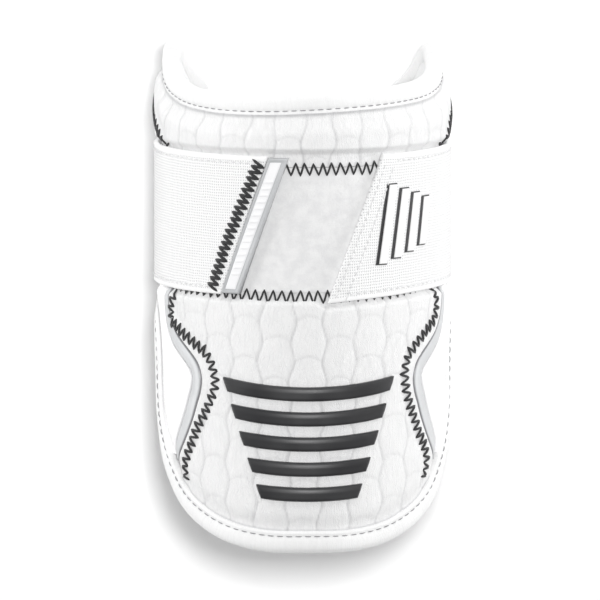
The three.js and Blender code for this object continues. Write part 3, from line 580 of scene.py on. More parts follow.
def weave_group():
    """Knitted elastic: cords along the strap crossed by fine ribs, and a mask of the gaps between them for
    painted shade.
    """
    tree, add, given, result = effect_group(
        "elastic weave",
        {"Lay": ("Vector", None), "Rib": ("Float", 0.95), "Cord": ("Float", 1.05)},
        {"Height": "Float", "Gap": "Float"},
    )
    split = parts_of(add, given["Lay"])
    shift = swing(add, noise(add, given["Lay"], 0.25, 2.0)[0], 1.2)
    rib = math_node(add, "DIVIDE", plus(add, split[0], shift), given["Rib"])
    lifted = plus(add, split[1], times(add, shift, 0.5))
    cord = math_node(add, "DIVIDE", lifted, given["Cord"])
    ribs, cords = (times(add, wave(add, "COSINE", turns), 0.5) for turns in (rib, cord))
    height = plus(add, ribs, cords)
    gap = ramp(add, height, -1.0, -0.1, 1.0, 0.0, "SMOOTHSTEP")
    return give(tree, result, {"Height": math_node(add, "MULTIPLY_ADD", height, 0.5, 0.5), "Gap": gap})


def fibre_group():
    """Brushed pile: short tangled fibres at two scales."""
    tree, add, given, result = effect_group(
        "brushed fibres", {"Lay": ("Vector", None), "Scale": ("Float", 1.4)},
        {"Height": "Float", "Clump": "Float"},
    )
    lay, scale = given["Lay"], given["Scale"]
    bend = noise(add, lay, times(add, scale, 0.5), 2.0)["Color"]
    tangle = {0: bend, 1: (2.6, 2.6, 0), 2: lay}
    tangled = add("VectorMath", {"operation": "MULTIPLY_ADD"}, tangle).outputs[0]
    fibre = noise(add, tangled, scale, 6.0, 0.72)[0]
    return give(tree, result, {"Height": fibre, "Clump": noise(add, lay, 0.22, 3.0)[0]})


def grain_group():
    """Fine pebbled grain of a moulded or coated face, with faint handling marks."""
    tree, add, given, result = effect_group(
        "moulded grain", {"Scale": ("Float", 900.0)}, {"Height": "Float", "Rub": "Float"}
    )
    here = add("TexCoord").outputs["Object"]
    pebble = add("TexVoronoi", None, {"Vector": here, "Scale": given["Scale"]}).outputs[0]
    rub = add("TexNoise", None, {"Vector": here, "Scale": 60.0, "Detail": 4.0}).outputs[0]
    return give(tree, result, {"Height": pebble, "Rub": rub})


KNIT, WEAVE, FIBRES, GRAIN = knit_group(), weave_group(), fibre_group(), grain_group()


def finish_of(name, settings):
    """A material with a Principled shader; returns the material, its add function and the shader."""
    material = bpy.data.materials.new(name)
    material.use_nodes = True
    shader = material.node_tree.nodes["Principled BSDF"]
    for key, value in settings.items():
        shader.inputs[key].default_value = value
    return material, tree_adder(material.node_tree), shader


def lay_of(add):
    return add("Attribute", {"attribute_name": "lay"}).outputs["Vector"]


def shade_by(add, shader, mask, dark, light, marked=None):
    """Colour from dark to light by a mask; marked places take the marked colour: painted shade on the quilt,
    dark edges on the trim.
    """
    colour = add("MixRGB", None, {0: mask, 1: (*dark, 1), 2: (*light, 1)}).outputs[0]
    if marked:
        mark = parts_of(add, lay_of(add))[2]
        colour = add("MixRGB", None, {0: mark, 1: colour, 2: (*marked, 1)}).outputs[0]
    shader.id_data.links.new(colour, shader.inputs["Base Color"])


def bump(add, shader, height, depth):
    """Relief of so many mm."""
    normal = add("Bump", None, {"Strength": 1.0, "Distance": depth / 1000, "Height": height}).outputs[0]
    shader.id_data.links.new(normal, shader.inputs["Normal"])


def knit_cloth(name, light, dark, wale, course, unevenness, depth, marked=None):
    material, add, shader = finish_of(name, {"Roughness": 0.88, "Sheen Weight": 0.5, "Sheen Roughness": 0.5})
    loops = {"Lay": lay_of(add), "Wale": wale, "Course": course, "Unevenness": unevenness}
    knit = add("Group", {"node_tree": KNIT}, loops).outputs
    shade_by(add, shader, ramp(add, knit["Streak"], 0.3, 0.62), dark, light, marked)
    bump(add, shader, knit["Height"], depth)
    return material


def elastic_cloth():
    material, add, shader = finish_of("knitted elastic", {"Roughness": 0.85, "Sheen Weight": 0.5})
    lay = lay_of(add)
    weave = add("Group", {"node_tree": WEAVE}, {"Lay": lay, "Rib": 0.95, "Cord": 1.05}).outputs
    open_knit = parts_of(add, lay)[2]
    gap_shade, height = (times(add, weave[key], open_knit) for key in ("Gap", "Height"))
    # Painted shade: the elastic is coloured darker in the gaps between its cords and ribs, away from the
    # selvedges.
    shade_by(add, shader, gap_shade, (0.84, 0.84, 0.84), (0.5, 0.5, 0.51))
    bump(add, shader, height, 0.14)
    return material


def brushed_cloth(name, light, dark, scale, depth):
    material, add, shader = finish_of(name, {"Roughness": 0.97, "Sheen Weight": 0.5, "Sheen Roughness": 0.6})
    fibres = add("Group", {"node_tree": FIBRES}, {"Lay": lay_of(add), "Scale": scale}).outputs
    fine = times(add, fibres["Height"], 0.4)
    both = math_node(add, "MULTIPLY_ADD", fibres["Clump"], 0.6, fine)
    shade_by(add, shader, ramp(add, both, 0.38, 0.62), dark, light)
    bump(add, shader, fibres["Height"], depth)
    return material


def moulded(name, light, dark, roughness, scale, depth, settings=None, marked=None):
    """A smooth moulded or coated finish."""
    material, add, shader = finish_of(name, {"Roughness": roughness, **(settings or {})})
    grain = add("Group", {"node_tree": GRAIN}, {"Scale": scale}).outputs
    shade_by(add, shader, ramp(add, grain["Rub"], 0.35, 0.65), dark, light, marked)
    worn = ramp(add, grain["Rub"], 0.3, 0.7, roughness * 0.9, min(1, roughness * 1.12))
    shader.id_data.links.new(worn, shader.inputs["Roughness"])
    bump(add, shader, grain["Height"], depth)
    return material


def twisted_thread(name, light, dark):
    material, add, shader = finish_of(name, {"Roughness": 0.7, "Sheen Weight": 0.15})
    split = parts_of(add, lay_of(add))
    twist = plus(add, times(add, split[0], 2.2), split[1])
    ply = math_node(add, "MULTIPLY_ADD", wave(add, "SINE", twist), 0.5, 0.5)
    # Painted shade: each thread is darker in the grooves between its plies, where the ply bump is low.
    shade_by(add, shader, ply, dark, light)
    bump(add, shader, ply, 0.06)
    return material


# The quilt's marked colour (0.5) is painted shade in the quilting's grooves and in the crease beside the
# binding.
QUILT_CLOTH = knit_cloth("quilt knit", (0.81, 0.81, 0.81), (0.75, 0.75, 0.755), 0.95, 0.7, 0.5, 0.08,
                         (0.5, 0.5, 0.51))
BINDING_CLOTH = knit_cloth("binding knit", (0.83, 0.83, 0.83), (0.79, 0.79, 0.79), 0.9, 0.7, 0.25, 0.04)
LINING_CLOTH = brushed_cloth("brushed lining", (0.93, 0.93, 0.93), (0.87, 0.87, 0.875), 1.1, 0.12)
LOOP_PILE = brushed_cloth("loop pile", (0.8, 0.8, 0.8), (0.72, 0.72, 0.725), 1.6, 0.16)
STRAP_CLOTH = elastic_cloth()
WINDOW_FILM = moulded("window film", (0.9, 0.9, 0.905), (0.87, 0.87, 0.88), 0.2, 500, 0.002,
                      {"Coat Weight": 0.8, "Coat Roughness": 0.08})
TRIM_SATIN = moulded("satin trim", (0.6, 0.61, 0.62), (0.55, 0.56, 0.57), 0.35, 700, 0.004,
                     {"Coat Weight": 0.3}, (0.22, 0.22, 0.23))
TAB_FRAME = moulded("tab frame", (0.5, 0.51, 0.52), (0.44, 0.45, 0.46), 0.4, 1200, 0.01)
TAB_PEARL = moulded("tab pearl face", (0.86, 0.86, 0.87), (0.82, 0.82, 0.83), 0.35, 1200, 0.006)
BLACK_RUBBER = moulded("black rubber", (0.035, 0.035, 0.037), (0.022, 0.022, 0.024), 0.42, 1500, 0.012)
WHITE_RUBBER = moulded("white rubber", (0.92, 0.92, 0.92), (0.89, 0.89, 0.89), 0.45, 1500, 0.01)
# Dark outline under the strap's bars, set wider on their left side.
DARK_OUTLINE = moulded("dark bar outline", (0.03, 0.03, 0.032), (0.02, 0.02, 0.022), 0.5, 1500, 0.005)
BLACK_THREAD = twisted_thread("black thread", (0.03, 0.03, 0.032), (0.01, 0.01, 0.011))
WHITE_THREAD = twisted_thread("white thread", (0.88, 0.88, 0.88), (0.6, 0.6, 0.61))
PALE_THREAD = twisted_thread("grey thread", (0.34, 0.34, 0.35), (0.2, 0.2, 0.21))


# Quilting

DOME_ROW = 15.5
DOME_SWAY = 0.07
GROOVE_DEPTH = 0.42
GROOVE_WIDTH = 0.42
CROWN_HEIGHT = 0.26
ROW_DEPTH = 0.12
ARCH_HEIGHT = 0.14
DOME_DRIFT = 0.03
DOME_RISE = 0.16
ROW_WIDTH = 0.7
# Of each quilted panel: pitch of its columns, how far a groove leans for each mm up, and the height and place
# of one groove, in mm.
LOWER_COLUMNS = (12.3, 0.035, 50, 4.75)
UPPER_COLUMNS = (11.4, 0.07, 165, -1.7)


def dome_relief(flat, columns):
    """Depth in mm of the sewn-in pattern of tall staggered domes below a smooth face, and a mask of its
    creases for painted shade.
    """
    pitch, lean, height, groove_at = columns
    v = (flat[..., 1] - height) / DOME_ROW
    u = (flat[..., 0] - groove_at - lean * (flat[..., 1] - height)) / pitch
    column = np.floor(u)
    drift = lambda k: DOME_DRIFT * np.sin(2.3 * k + 1.7 * v)
    border = lambda k: k + DOME_SWAY * np.cos(2 * np.pi * v + np.pi * k) + drift(k)
    column = np.where(u < border(column), column - 1, column)
    column = np.where(u >= border(column + 1), column + 1, column)
    left, right = border(column), border(column + 1)
    side = (2 * (u - left) / (right - left) - 1) ** 2
    groove = GROOVE_DEPTH * bell(np.minimum(u - left, right - u) * pitch, GROOVE_WIDTH)
    arch = v + column / 2 - ARCH_HEIGHT * (1 - side)
    row = ROW_DEPTH * bell((arch - np.round(arch)) * DOME_ROW, ROW_WIDTH) * (1 - 0.5 * side)
    rise = (arch - np.floor(arch)) * DOME_RISE
    return groove + CROWN_HEIGHT * side + row + rise, (groove + 0.6 * row) / GROOVE_DEPTH


def side_curve(distance, width_share):
    """The right side curve moved square to itself away from the front."""
    line = at_angle([(r * PANEL_HALF_ANGLE, u * TONGUE_REACH) for u, r, _ in SIDE_CURVE])
    widths = np.array([w for _, _, w in SIDE_CURVE])
    fine = spline(np.column_stack([line, widths]), 6)
    shift = distance + width_share * fine[:, 2] * TRIM_WIDTH
    return fine[:, :2] - shift[:, None] * square_to(unit(np.gradient(fine[:, :2], axis=0)))


# CREASE_SHADE and TUCK_SHADE: strength of the painted shade in the quilt's grooves and in its crease beside
# the binding.
CREASE_SHADE = 0.45
HEM_WIDTH = 5.2
HEM_DIP = 0.4
HEM_SETBACK = 0.25
VALLEY_WIDTH = 2.6
QUILT_RAMP = 3.5
EDGE_DROP = 2.6
EDGE_ROLL = 0.9
TUCK_SHADE = 0.8
TUCK_SHADE_WIDTH = 0.7
COVER_LAP = 0.2


def quilted_panel(name, flat, beside, columns):
    """Quilted cloth: a flat hem and a stitched-down valley at the given distance, then the quilting."""
    relief, crease = dome_relief(flat, columns)
    quilted = smoothstep(beside, HEM_WIDTH, HEM_WIDTH + QUILT_RAMP)
    valley = HEM_DIP * bell(beside - HEM_WIDTH, VALLEY_WIDTH)
    drop = quilted * relief + (1 - quilted) * HEM_SETBACK + valley + EDGE_DROP * rolled(beside, EDGE_ROLL)
    face = np.maximum(cover_radius(flat) - drop, PANEL_INNER + 0.4)
    # Painted shade: the quilt is coloured darker along its grooves and along the crease at the binding.
    tucked = bell(edge_distance(flat, inner_ring), TUCK_SHADE_WIDTH)
    mark = np.clip(CREASE_SHADE * quilted * crease + TUCK_SHADE * tucked, 0, 1)
    return panel(name, flat, face, PANEL_INNER - COVER_LAP, QUILT_CLOTH, mark)


def lower_panel():
    foot = rim_stretch(True, -PANEL_FOOT_ANGLE, PANEL_FOOT_ANGLE)
    hem = side_curve(-0.25, -0.5)
    right = np.concatenate([foot[-1:], hem, [[hem[-1, 0], PATCH_LOW + COVER_LAP]]])
    left = mirrored(right)
    left[0] = foot[0]
    high = np.stack([left[-1], right[-1]])
    flat = fill(foot, high, left, right, shares(200, 2 * PANEL_HALF_ANGLE), shares(158, TONGUE_REACH))
    beside = np.minimum(edge_distance(flat, right), edge_distance(flat, left))
    return quilted_panel("lower_quilt_cloth", flat, beside, LOWER_COLUMNS)


def upper_panel():
    low = PATCH_HIGH + COVER_LAP
    high = rim_stretch(False, -UPPER_SEAM_HIGH_ANGLE, UPPER_SEAM_HIGH_ANGLE)
    bottom = at_angle([(-UPPER_SEAM_LOW_ANGLE, low), (UPPER_SEAM_LOW_ANGLE, low)])
    left, right = (np.stack([bottom[end], high[end]]) for end in (0, -1))
    flat = fill(bottom, high, left, right, shares(300, 150), shares(52, 30))
    beside = np.minimum(edge_distance(flat, left), edge_distance(flat, right))
    return quilted_panel("upper_quilt_cloth", flat, beside, UPPER_COLUMNS)


SIDE_NAMES = {-1: "left", 1: "right"}


def sided(line, side):
    return line if side > 0 else mirrored(line)


def sided_grid(flat, side):
    return flat if side > 0 else mirrored(flat)[::-1]


def side_grid(front, rear, side, across):
    """Level rows from a front line to a rear line, described for the right side."""
    return sided_grid(mix(front[None], rear[None], across[:, None, None]), side)


def side_rim(on_tongue, side, front_angle):
    """A side's part of the tucked rim back to the window's rear edge, described for the right side."""
    line = sided(rim_stretch(on_tongue, *sorted((side * front_angle, side * SHIELD_REAR_ANGLE))), side)
    return line[np.argsort(line[:, 0])]


def shield(side):
    """The glossy hard window beside the tongue's panel, back to the wing's cover and up to the collar."""
    shelf = PATCH_LOW + SEAM_GAP
    gap = SEAM_GAP / MM_PER_DEGREE
    beside = side_curve(0.3, 0.5)
    tongue, collar = side_rim(True, side, 40), side_rim(False, side, 60)
    seam_top = (UPPER_SEAM_HIGH_ANGLE + gap) * MM_PER_DEGREE
    hem = np.concatenate([beside[max(2, int(SHIELD_FOOT * 6)):], [[beside[-1, 0], shelf]]])
    front = np.concatenate([
        hem,
        at_angle([
            (PATCH_HALF_ANGLE + gap, shelf + TRIM_WIDTH),
            (PATCH_HALF_ANGLE + gap, PATCH_HIGH - PATCH_MARGIN_HIGH),
            (UPPER_SEAM_LOW_ANGLE + gap, PATCH_HIGH),
        ]),
        [[seam_top, np.interp(seam_top, *collar.T)]],
    ])
    front = along(front, shares(150, lengths(front)[-1], 0.6))
    places, heights = tongue.T
    rear = np.array([
        (np.interp(s, heights, places) if s < heights[-1] else SHIELD_REAR_ANGLE * MM_PER_DEGREE, s)
        for s in front[:, 1]
    ])
    flat = side_grid(front, rear, side, shares(48, 45, 0.6))
    distance = edge_distance(flat, sided(hem, side))
    seam = edge_distance(flat, sided(front[[-60, -1]], side))
    face = cover_radius(flat) - SHIELD_INSET - 1.6 * rolled(np.minimum(distance, seam), 0.7)
    return panel(f"side_window_{SIDE_NAMES[side]}", flat, face, PANEL_INNER + 0.2, WINDOW_FILM)


def wing(side):
    """Plain knitted cover of the rear wing."""
    front_angle = SHIELD_REAR_ANGLE + 0.25
    rear_angle = WRAP_ANGLE - (COLLAR_BINDING_WIDTH - TUCK) / MM_PER_DEGREE
    places = np.linspace(front_angle, rear_angle - 0.3, 60) * MM_PER_DEGREE
    flat = sided_grid(between_halves(sided(tucked_rim, side), places, shares(90, 90, 0.6)), side)
    seam = np.abs(np.abs(flat[..., 0]) - front_angle * MM_PER_DEGREE)
    face = cover_radius(flat) - 0.3 - 0.8 * rolled(seam, 0.8)
    return panel(f"wing_cover_{SIDE_NAMES[side]}", flat, face, PANEL_INNER - COVER_LAP, QUILT_CLOTH)


def trim(side):
    """Pale grey strip with rolled edges between the panel and the window."""
    lines = side_curve(-0.1, -0.5), side_curve(0.1, 0.5)
    inner, outer = (np.concatenate([line, [[line[-1, 0], PATCH_LOW]]]) for line in lines)
    across = shares(9, TRIM_WIDTH, 0.9)
    flat = side_grid(inner, outer, side, across)
    across = across if side > 0 else 1 - across[::-1]
    width = np.linalg.norm(outer - inner, axis=1)
    near = from_ends(across)[:, None] * width[None]
    face = cover_radius(flat) - TRIM_INSET - 1.1 * rolled(near, 0.9) - 0.25 * np.abs(2 * across - 1)[:, None]
    dark = 1 - smoothstep(near, 0.3, 0.7)
    return panel(f"side_trim_{SIDE_NAMES[side]}", flat, face, PANEL_INNER - 0.1, TRIM_SATIN, dark)


def patch():
    """Brushed loop patch under the strap's ends."""
    half = PATCH_HALF_ANGLE * MM_PER_DEGREE
    across = shares(220, 2 * PATCH_HALF_ANGLE, 0.6)
    upward = shares(88, PATCH_HIGH - PATCH_LOW, 0.6)
    places = (2 * across - 1) * PATCH_HALF_ANGLE * MM_PER_DEGREE
    flat = grid_of(places[:, None], mix(PATCH_LOW, PATCH_HIGH, upward)[None])
    distance = np.minimum(flat[..., 1] - PATCH_LOW, PATCH_HIGH - flat[..., 1])
    distance = np.minimum(distance, half - np.abs(flat[..., 0]))
    fuzz = np.random.default_rng(11).normal(0, 0.035, flat.shape[:2])
    face = PATCH_OUTER - 0.05 + fuzz * (distance > 0.5) - 0.9 * rolled(distance, 0.7)
    return panel("loop_pile_patch", flat, face, PANEL_INNER - 0.1, LOOP_PILE)


# Strap

STRAP_MIDDLE = (STRAP_INNER + STRAP_OUTER) / 2
LIFT_ANGLE = WRAP_ANGLE - STRAP_LIFT_ANGLE
STRAP_HEM = 7.5
HEM_ROWS = (2.2, 6.2)
SIDE_ROW = 2.6
SELVEDGE = 1.8


def end_angle(side, share):
    low, high = RIGHT_END_ANGLES if side > 0 else LEFT_END_ANGLES
    return mix(low, high, share)


def strap_points(upward, around, out):
    """Points of the strap at heights (shares of its width), stations round it, and mm out of its middle.
    Stations 0..1 lie on the right of the cuff, 1..3 go round the back and 3..4 lie on the left."""
    up, station = np.broadcast_arrays(upward[None], around[:, None])
    height = mix(STRAP_LOW, STRAP_HIGH, up)
    points = np.zeros((*up.shape, 3))
    arc = np.zeros(up.shape)
    lift = math.radians(LIFT_ANGLE)
    centre_x = (STRAP_MIDDLE - STRAP_BEND_RADIUS) * math.sin(lift)
    centre_z = (STRAP_MIDDLE - STRAP_BEND_RADIUS) * math.cos(lift)
    bend = STRAP_BEND_RADIUS * (math.pi - lift)
    for side in (1, -1):
        on_cuff = station <= 1 if side > 0 else station >= 3
        share = station if side > 0 else 4 - station
        angle = np.radians(mix(end_angle(side, up), side * LIFT_ANGLE, np.clip(share, 0, 1)))
        radius = STRAP_MIDDLE + out
        hang = STRAP_LOW - strap_foot(np.maximum(np.degrees(angle), RIGHT_END_ANGLES[0])) if side > 0 else 0
        points[on_cuff] = np.stack(
            [radius * np.sin(angle), height - hang * (1 - up), radius * np.cos(angle)], -1
        )[on_cuff]
        arc[on_cuff] = (np.degrees(angle) * MM_PER_DEGREE)[on_cuff]
        on_bend = (station > 1) & (station <= 1.5) if side > 0 else (station >= 2.5) & (station < 3)
        turn = mix(lift, math.pi, np.clip((share - 1) * 2, 0, 1))
        reach = STRAP_BEND_RADIUS + out
        bent_x = side * (centre_x + reach * np.sin(turn))
        bent = np.stack([bent_x, height, centre_z + reach * np.cos(turn)], -1)
        points[on_bend] = bent[on_bend]
        arc[on_bend] = (side * (LIFT_ANGLE * MM_PER_DEGREE + bend * (share - 1) * 2))[on_bend]
    on_back = (station > 1.5) & (station < 2.5)
    across = centre_x * (1 - 2 * (station - 1.5))
    flat_back = np.stack([across, height, np.full(up.shape, centre_z - STRAP_BEND_RADIUS) - out], -1)
    points[on_back] = flat_back[on_back]
    arc[on_back] = (LIFT_ANGLE * MM_PER_DEGREE + bend + centre_x - across)[on_back]
    return (points + [AXIS_X, TIP_Y, AXIS_Z]) / 1000, np.stack([arc, height], -1)


def strap():
    """One wide elastic band round the open back, hemmed at its right end and edged along both sides."""
    cuff = np.concatenate([[0, 0.0008, 0.0025, 0.005], np.linspace(0.01, 1, 120)])
    bend = np.linspace(1, 1.5, 9)[1:]
    around = np.concatenate([cuff, bend, np.linspace(1.5, 2.5, 40)[1:], bend + 1.5, (4 - cuff[::-1])[1:]])
    upward = shares(84, STRAP_WIDTH, 0.7)
    _, flat = strap_points(upward, around, 0)
    side_distance = from_ends(upward)[None] * STRAP_WIDTH
    right, left = (
        edge_distance(flat, at_angle(zip(ends, (STRAP_LOW, STRAP_HIGH))))
        for ends in (RIGHT_END_ANGLES, LEFT_END_ANGLES)
    )
    half = STRAP_THICKNESS / 2
    bead = 0.12 * bell(side_distance - SELVEDGE / 2, 0.8)
    hem = 0.3 * (1 - smoothstep(right, STRAP_HEM - 0.4, STRAP_HEM + 0.2))
    sewn = 0.14 * bell(side_distance - SIDE_ROW, 0.45)
    for row in HEM_ROWS:
        sewn = np.maximum(sewn, 0.14 * bell(right - row, 0.5))
    end = np.minimum(np.minimum(right, left), np.broadcast_to(side_distance, right.shape))
    out = half - 0.22 + bead + hem - sewn - (half - 0.3) * rolled(end, 0.7)
    inner = -half + (half - 0.3) * rolled(end, 0.7)
    outer_points, inner_points = (strap_points(upward, around, depth)[0] for depth in (out, inner))
    lay = with_mark(flat, smoothstep(side_distance, SELVEDGE - 0.2, SELVEDGE + 0.2))
    return shell("strap_band", outer_points, inner_points, lay, STRAP_CLOTH)


def slanted(side, inset, low=0.0, high=1.0, count=40):
    """Flat line beside a slanted strap end, inset square to the end."""
    share = np.linspace(low, high, count)
    line = at_angle([(end_angle(side, s), mix(STRAP_LOW, STRAP_HIGH, s)) for s in share])
    if side > 0:
        line[:, 1] -= TIP_DROP * (1 - share)
    run = line[-1] - line[0]
    run /= np.linalg.norm(run)
    return line + side * inset * np.array([run[1], -run[0]])


# Tab, ribs and bars

def rounded_slab(name, flat, near, base, thickness, roll, material, crown=0.0):
    """A low moulded slab over a grid of flat places, near being the distance to its nearest edge."""
    face = base + thickness - roll * rolled(near, roll) - crown
    return panel(name, flat, face, base, material)


GRIP_PITCH = 2.6


def pull_tab():
    """Grey framed tab with a pearl face and plain grip ribs."""
    def grid(across, upward):
        height = mix(STRAP_LOW + TAB_MARGIN, STRAP_HIGH - TAB_MARGIN, upward)
        near = end_angle(-1, (height - STRAP_LOW) / STRAP_WIDTH) * MM_PER_DEGREE
        shift = mix(SEAM_GAP, SEAM_GAP + TAB_WIDTH, across)
        return grid_of(near[None] + shift[:, None], height[None])

    def border(across, upward):
        beside = np.minimum(across - across[0], across[-1] - across)[:, None] * TAB_WIDTH
        return np.minimum(beside, np.minimum(upward - upward[0], upward[-1] - upward)[None] * STRAP_WIDTH)

    top = STRAP_INNER + TAB_THICKNESS
    across, upward = shares(10, TAB_WIDTH, 0.7), shares(70, STRAP_WIDTH, 0.7)
    sunk = 0.55 * smoothstep(border(across, upward), 0.7, 1.0)
    face = top - 0.7 * rolled(border(across, upward), 0.7) - sunk
    frame_piece = panel("pull_tab_frame", grid(across, upward), face, STRAP_INNER, TAB_FRAME)
    across, upward = np.linspace(0.12, 0.74, 12), np.linspace(0.03, 0.97, 240)
    edge = border(across, upward)
    wave = np.cos(2 * np.pi * upward * STRAP_WIDTH / GRIP_PITCH)[None]
    ridged = smoothstep(wave, 0.1, 0.8) * smoothstep(edge, 0.7, 1.1) * (np.abs(upward - 0.5) < 0.36)[None]
    face = top - 0.36 + 0.22 * ridged - 0.3 * rolled(edge, 0.3)
    pearl = panel("pull_tab_face", grid(across, upward), face, STRAP_INNER + 0.2, TAB_PEARL)
    return frame_piece, pearl


def rib(order):
    """Black moulded rib on the tongue, hanging in a shallow curve."""
    half = RIB_TOP_HALF_WIDTH - RIB_STEP_IN * order
    middle = RIB_LOWEST + RIB_PITCH * (RIB_COUNT - 1 - order)
    across, upward = shares(60, 2 * half, 1.1), shares(10, RIB_HEIGHT, 1.1)
    a = (2 * across - 1) * half
    s = middle + (upward - 0.5) * RIB_HEIGHT
    slant = 0.35 * RIB_HEIGHT * (upward - 0.5)
    flat = grid_of(a[:, None], s[None])
    flat[..., 0] += np.sign(a)[:, None] * slant[None] * smoothstep(np.abs(a), half - 8, half)[:, None]
    flat[..., 1] += RIB_SAG * ((a / RIB_TOP_HALF_WIDTH) ** 2 - 0.5)[:, None]
    near = np.minimum((half - np.abs(a))[:, None], from_ends(upward)[None] * RIB_HEIGHT)
    ridge = 0.35 * np.abs(upward - 0.62)[None] / 0.62
    base = QUILT_OUTER - 0.6
    thickness = QUILT_OUTER + FIT_GAP + RIB_THICKNESS - base
    return rounded_slab(f"tongue_rib_{order + 1}", flat, near, base, thickness, 1.0, BLACK_RUBBER, ridge)


def bar(order):
    """White raised bar on the strap and a dark outline under it, wider on the bar's left side."""
    middle = BAR_FIRST_ANGLE * MM_PER_DEGREE + order * BAR_PITCH
    length = BAR_LENGTH - 2 * BAR_STEP_IN * order
    pieces = []
    for label, grow, shift, base, thickness, roll, material in (
        ("outline", 0.8, -0.45, STRAP_OUTER - 0.5, 0.62, 0.2, DARK_OUTLINE),
        ("face", 0.0, 0.0, STRAP_OUTER - 0.3, BAR_THICKNESS + 0.15, 0.6, WHITE_RUBBER),
    ):
        wide, tall = BAR_WIDTH + 2 * grow, length + 1.2 * grow
        across, upward = shares(5, wide, 0.9), shares(30, tall, 0.9)
        lean = 0.16 * (upward - 0.5) * tall
        places = middle + shift + (across[:, None] - 0.5) * wide + lean[None]
        flat = grid_of(places, (STRAP_CENTRE + (upward - 0.5) * tall)[None])
        near = np.minimum(from_ends(across)[:, None] * wide, from_ends(upward)[None] * tall)
        name = f"strap_bar_{label}_{order + 1}"
        pieces.append(rounded_slab(name, flat, near, base, thickness, roll, material))
    return pieces


# Binding and lining

# Section of the rolled binding: mm inward from the rim, mm below its face. Its stitch line is sunk.
SECTION_WIDTH = 7.42
STITCH_INSET = 5.75
BINDING_SECTION = [
    (0.0, 3.4), (0.1, 2.3), (0.42, 1.35), (1.0, 0.62), (1.8, 0.2), (2.8, 0.02), (3.8, 0.0), (4.7, 0.08),
    (5.25, 0.28), (STITCH_INSET, 0.5), (6.2, 0.3), (6.6, 0.22), (7.0, 0.34), (7.3, 0.7),
    (SECTION_WIDTH, 1.3), (SECTION_WIDTH, 3.4),
    (7.3, 5.4), (6.9, 6.25), (6.1, 6.75), (5.0, 6.95), (3.7, 7.0), (2.5, 6.9), (1.4, 6.55), (0.6, 5.85),
    (0.15, 4.7),
]
STITCH_PITCH = 3.6


def binding():
    """Cloth rolled over the whole rim and stitched down."""
    reach = np.arange(RIM_STATIONS) / RIM_STATIONS * lengths(ring_of(rim))[-1]
    pucker = 0.07 * np.cos(2 * np.pi * reach / STITCH_PITCH)
    soft = 0.12 * np.sin(reach / 7.3) + 0.08 * np.sin(reach / 3.9 + 1)
    points, lay = [], []
    for inward, below in BINDING_SECTION:
        near_stitch = bell(inward - STITCH_INSET, 0.9) if below < 3 else 0
        radius = binding_face(rim[:, 1]) - below + near_stitch * pucker + (soft if below < 1 else 0)
        points.append(place(moved_inward(inward / SECTION_WIDTH), radius))
        lay.append(np.stack([reach, np.full(RIM_STATIONS, inward + below), np.zeros(RIM_STATIONS)], -1))
    points, lay = (np.stack(rows, 1).reshape(-1, 3) for rows in (points, lay))
    faces = grid_faces(RIM_STATIONS, len(BINDING_SECTION), ring_of_columns=True, ring_of_rows=True)
    return mesh_piece("rim_binding", points, faces.tolist(), lay, BINDING_CLOTH)


def foam():
    """The padded body with its brushed lining, running under the binding."""
    rear = WRAP_ANGLE * MM_PER_DEGREE - COLLAR_BINDING_WIDTH + 0.2
    flat = between_halves(moved_inward(1, -0.6), np.linspace(-rear, rear, 190), np.linspace(0, 1, 90))
    depth = edge_distance(flat, seam_ring)
    inner_seam = np.maximum(binding_face(flat[..., 1]) - BINDING_THICKNESS + 0.5, ARM_RADIUS)
    swollen = mix(inner_seam, ARM_RADIUS, np.sin(smoothstep(depth, -1, 7) * np.pi / 2))
    ripple = 0.25 * np.sin(flat[..., 0] / 9 + 0.5) * np.sin(flat[..., 1] / 14)
    inner = np.maximum(swollen + ripple * smoothstep(depth, 2, 14), ARM_RADIUS - 0.1)
    outer_points, inner_points = place(flat, FOAM_OUTER - 0.2), place(flat, inner)
    return shell("foam_lining", outer_points, inner_points, with_mark(flat, 0), LINING_CLOTH)


# Making the pieces

pieces = [
    (foam(), "lining", ["pad_shell"]),
    (binding(), "binding", ["edge_binding"]),
    (upper_panel(), "knit", ["upper_quilt"]),
    (lower_panel(), "knit", ["lower_quilt"]),
    (patch(), "loop", ["loop_patch"]),
]
for side, label in SIDE_NAMES.items():
    pieces += [
        (shield(side), "window", [f"side_shield_{label}"]),
        (wing(side), "knit", [f"wing_panel_{label}"]),
        (trim(side), "trim", [f"trim_band_{label}"]),
    ]
strap_piece = strap()
pieces.append((strap_piece, "elastic", ["elastic_strap"]))
tab_frame, tab_face = pull_tab()
pieces += [(tab_frame, "tab", ["pull_tab"]), (tab_face, "tab", [])]
for order in range(RIB_COUNT):
    pieces.append((rib(order), "black_rubber", [f"impact_rib_{order + 1}"]))
for order in range(BAR_COUNT):
    outline, face = bar(order)
    pieces += [(face, "white_rubber", [f"strap_bar_{order + 1}"]), (outline, "white_rubber", [])]

# Stitching

seam_valley = lambda flat: cover_radius(flat) - HEM_DIP - 0.1
strap_face = lambda flat: np.full(len(flat), STRAP_OUTER - 0.32)
hem_face = lambda flat: np.full(len(flat), STRAP_OUTER - 0.05)
patch_face = lambda flat: np.minimum(cover_radius(flat), PATCH_OUTER + 0.6) + 0.05

PATCH_ZIGZAG_WIDTH = 5
PATCH_ZIGZAG_END = 58
EDGE_ROWS = (0.05, 0.95)
# Zigzag up the strap beside the tab: angle, height in mm.
STRAP_ZIGZAG = [(-19.6, 149.6), (-24.3, 138.5), (-28.9, 127.8), (-33.9, 116.2), (-39.9, 100.3)]


def sew(name, paths, radius, finish, slot_name):
    pieces.append((threads(name, paths, radius, finish), slot_name, []))


